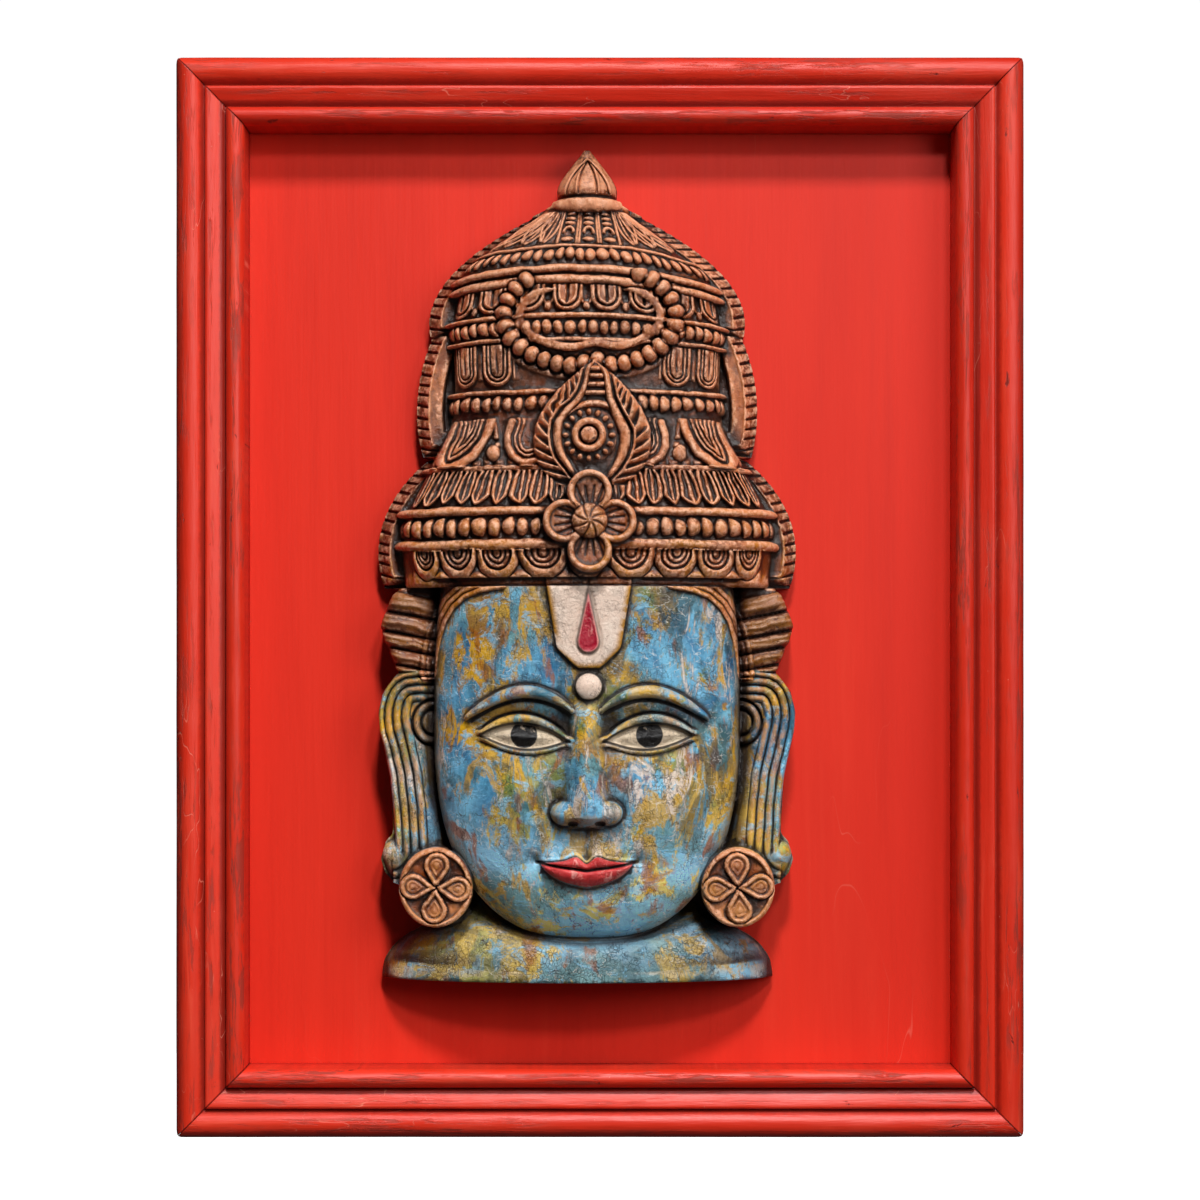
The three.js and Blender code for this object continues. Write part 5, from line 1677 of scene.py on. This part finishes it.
def painted_mark(n, vector, colour, scuffs, worn, curls):
    """Cream forehead mark with an ochre edge, a rose drop in a dark moat, and a cream stud."""
    mark, drop, stud = n.field("mark"), n.field("drop"), n.field("stud")
    outline = (36, 26, 22)
    cream = n.coats(
        n.mix(n.noise(vector, 80.0, 6.0, 0.65), tint(226, 190, 168), tint(254, 238, 222)),
        ((150, 112, 96), curls, 0.5),
        ((92, 66, 54), worn, 0.7),
    )
    rubbed = n.patch(vector, 60.0, 0.44, 0.06)
    shield = n.coats(cream, ((190, 134, 52), n.ramp(mark, 5.5, 0.4), rubbed))
    rose = n.mix(n.ramp(drop, 0.6, 1.5), tint(220, 140, 136), tint(176, 34, 54))
    rose = n.coats(rose, ((226, 156, 148), scuffs, 0.6))
    colour = n.coats(colour, (outline, n.ramp(mark, -1.8, -0.3), 0.88))
    colour = n.mix(n.ramp(mark, -0.2, 0.4), colour, shield)
    moat = n.ramp(drop, -2.6, -0.4)
    colour = n.coats(colour, ((84, 66, 60), moat, 0.75, n.ramp(mark, 0.0, 1.0)))
    colour = n.mix(n.ramp(drop, -0.2, 0.4), colour, rose)
    colour = n.coats(colour, (outline, n.ramp(stud, -1.8, -0.2), 0.88))
    return n.mix(n.ramp(stud, -0.1, 0.6), colour, cream)


def details(n, vector, colour):
    """Painted lips, brows, eyes and forehead mark over the blue."""
    worn = n.mask(CRACKLE, vector, 420.0, 0.12, 0.42)
    scuffs = n.patch(n.moved(vector, (1.0, 1.0, 0.5)), 90.0, 0.58, 0.04, 0.6, 0.7)
    curls = n.mask(SCRATCHES, vector, 190.0, 0.02, 0.6)
    colour = painted_lips(n, vector, colour, scuffs)
    brow = n.ramp(n.field("line"), -0.4, 0.6)
    colour = n.coats(colour, ((24, 20, 20), brow, n.ramp(scuffs, 1.3, 0.2)))
    colour = painted_eyes(n, vector, colour, worn, curls)
    return painted_mark(n, vector, colour, scuffs, worn, curls)


def brighter(n, colour, value):
    """A colour made lighter by a factor, and a little stronger with it."""
    values = {"Color": colour, "Value": value, "Saturation": 1.06}
    return n.place("ShaderNodeHueSaturation", values).outputs[0]


def mask_paint():
    """Blue layered paint on the face, ears and neck, brown wood on the crown, hair and earrings,
    and plain raw wood at the back. The lower face, and most of all the chin, is painted lighter as
    painted light."""
    material, n, shader = new_material("mask_paint")
    vector = n.place("ShaderNodeTexCoord").outputs["Object"]
    up = n.part(vector, 2)
    wood, wood_rough, wood_height = carved_wood(n, vector, up)
    blue, blue_rough, blue_height = blue_paint(n, vector, up)
    blue = details(n, vector, blue)
    # The lower face and most of all the chin are painted lighter: painted light where they turn down
    # into shade.
    chin = n.times(n.ramp(up, -0.16, -0.22), n.ramp(n.field("edge"), -1.0, 1.0))
    lit = n.plus(n.times(n.ramp(up, -0.04, -0.08), 0.22), n.times(chin, 0.5), 1.0)
    uneven = n.times(n.less(n.noise(vector, 160.0, 3.0), 0.5), 1.6)
    bare = n.ramp(n.plus(n.field("bare"), uneven), -0.5, 0.5)
    painted = n.less(1.0, bare)
    colour = n.mix(bare, brighter(n, blue, lit), brighter(n, wood, 1.14))
    streaks = n.noise(n.moved(vector, (1.0, 1.0, 0.1)), 90.0, 5.0)
    raw = n.mix(streaks, tint(74, 50, 36), tint(126, 92, 66))
    behind = n.ramp(n.part(vector, 1), -MM * (MASK_BACK + 8), -MM * (MASK_BACK + 2))
    colour = n.mix(behind, colour, raw)
    rough = n.plus(n.times(bare, wood_rough), n.times(painted, blue_rough))
    height = n.plus(n.times(bare, wood_height), n.times(painted, blue_height))
    normal = n.bump(height, 0.0006, 0.9)
    n.feed(shader, {"Base Color": colour, "Roughness": rough, "Normal": normal})
    shader.inputs["Specular IOR Level"].default_value = 0.6
    return material


def floor_paint():
    """Plain pale floor, which the camera sees as bright as the air and which lights nothing else."""
    material, n, shader = new_material("floor_paint")
    seen = n.place("ShaderNodeLightPath").outputs["Is Camera Ray"]
    pale = n.mix(seen, (0.05, 0.05, 0.05, 1), (0.8, 0.8, 0.8, 1))
    n.feed(shader, {"Base Color": pale, "Emission Strength": seen})
    shader.inputs["Roughness"].default_value = 0.9
    shader.inputs["Emission Color"].default_value = (1, 1, 1, 1)
    return material


# Stage, light and camera, in metres. The camera's view is SHOWN_HALF wide each side of its
# middle at a distance of SHOWN_AT

FLOOR = -1.4
FLOOR_RADIUS = 7.0
FLOOR_SIDES = 96
AIR_LIGHT = 0.03
CAMERA_BACK = 1.8
CAMERA_UP = -0.06
CAMERA_SHIFT = 0.0662
SHOWN_HALF = 0.4414
SHOWN_AT = 1.770
SENSOR = 36.0


def floor():
    """A round floor under the frame."""
    turns = np.linspace(0, 2 * math.pi, FLOOR_SIDES, endpoint=False)
    radius = FLOOR_RADIUS / MM
    level = np.full(FLOOR_SIDES, FLOOR / MM)
    ring = np.stack([radius * np.cos(turns), radius * np.sin(turns), level], axis=-1)
    piece = new_piece("floor", ring, [list(range(FLOOR_SIDES))[::-1]], False)
    piece.data.materials.append(floor_paint())


def lamp(name, place, size, power):
    """A square soft light aimed at the middle of the mask. Its light doesn't weaken with distance,
    as if from a row of lamps, so the frame is lit evenly from top to bottom."""
    light = bpy.data.lights.new(name, "AREA")
    light.size, light.energy = size, power
    light.use_nodes = True
    nodes = light.node_tree.nodes
    fall = nodes.new("ShaderNodeLightFalloff")
    fall.inputs["Strength"].default_value = 1.0
    light.node_tree.links.new(fall.outputs["Constant"], nodes["Emission"].inputs["Strength"])
    stand = bpy.data.objects.new(name, light)
    x, y, z = (MM * value for value in place)
    stand.location = (x, -y, z)
    stand.rotation_euler = (math.pi / 2 - math.atan2(z, math.hypot(x, y)), 0, math.atan2(x, y))
    bpy.context.scene.collection.objects.link(stand)


def air():
    """White surroundings that the camera sees brighter than they light the frame."""
    world = bpy.data.worlds.new("air")
    world.use_nodes = True
    n = Nodes(world.node_tree)
    seen = n.place("ShaderNodeLightPath").outputs["Is Camera Ray"]
    strength = n.plus(AIR_LIGHT, seen)
    background = world.node_tree.nodes["Background"]
    background.inputs[0].default_value = (1, 1, 1, 1)
    world.node_tree.links.new(strength, background.inputs[1])
    bpy.context.scene.world = world


def camera():
    """Straight on to the wall, a little below the frame's middle, as in the photograph."""
    lens = bpy.data.cameras.new("camera")
    lens.sensor_width = SENSOR
    lens.lens = SENSOR / 2 / (SHOWN_HALF / SHOWN_AT)
    lens.shift_y = CAMERA_SHIFT
    eye = bpy.data.objects.new("camera", lens)
    eye.location = (0, -CAMERA_BACK, CAMERA_UP)
    eye.rotation_euler = (math.pi / 2, 0, 0)
    bpy.context.scene.collection.objects.link(eye)
    bpy.context.scene.camera = eye


def build():
    """The whole scene: rails, board, mask, and what they stand in."""
    paint = frame_paint()
    for rail in rails():
        rail.data.materials.append(paint)
    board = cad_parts["back_board"]
    board.data.materials.clear()
    board.data.materials.append(board_paint())
    mask = mask_piece()
    mask.data.materials.append(mask_paint())
    finish_piece(mask, "mask")
    floor()
    air()
    lamp("upper_lamp", place=(120, 1372, 1776), size=0.28, power=7.6)
    lamp("middle_lamp", place=(480, 1750, 1205), size=0.24, power=2.8)
    lamp("soft_lamp", place=(1080, 1350, 450), size=0.8, power=2.8)
    camera()
    bpy.context.scene.view_settings.view_transform = "Standard"


build()
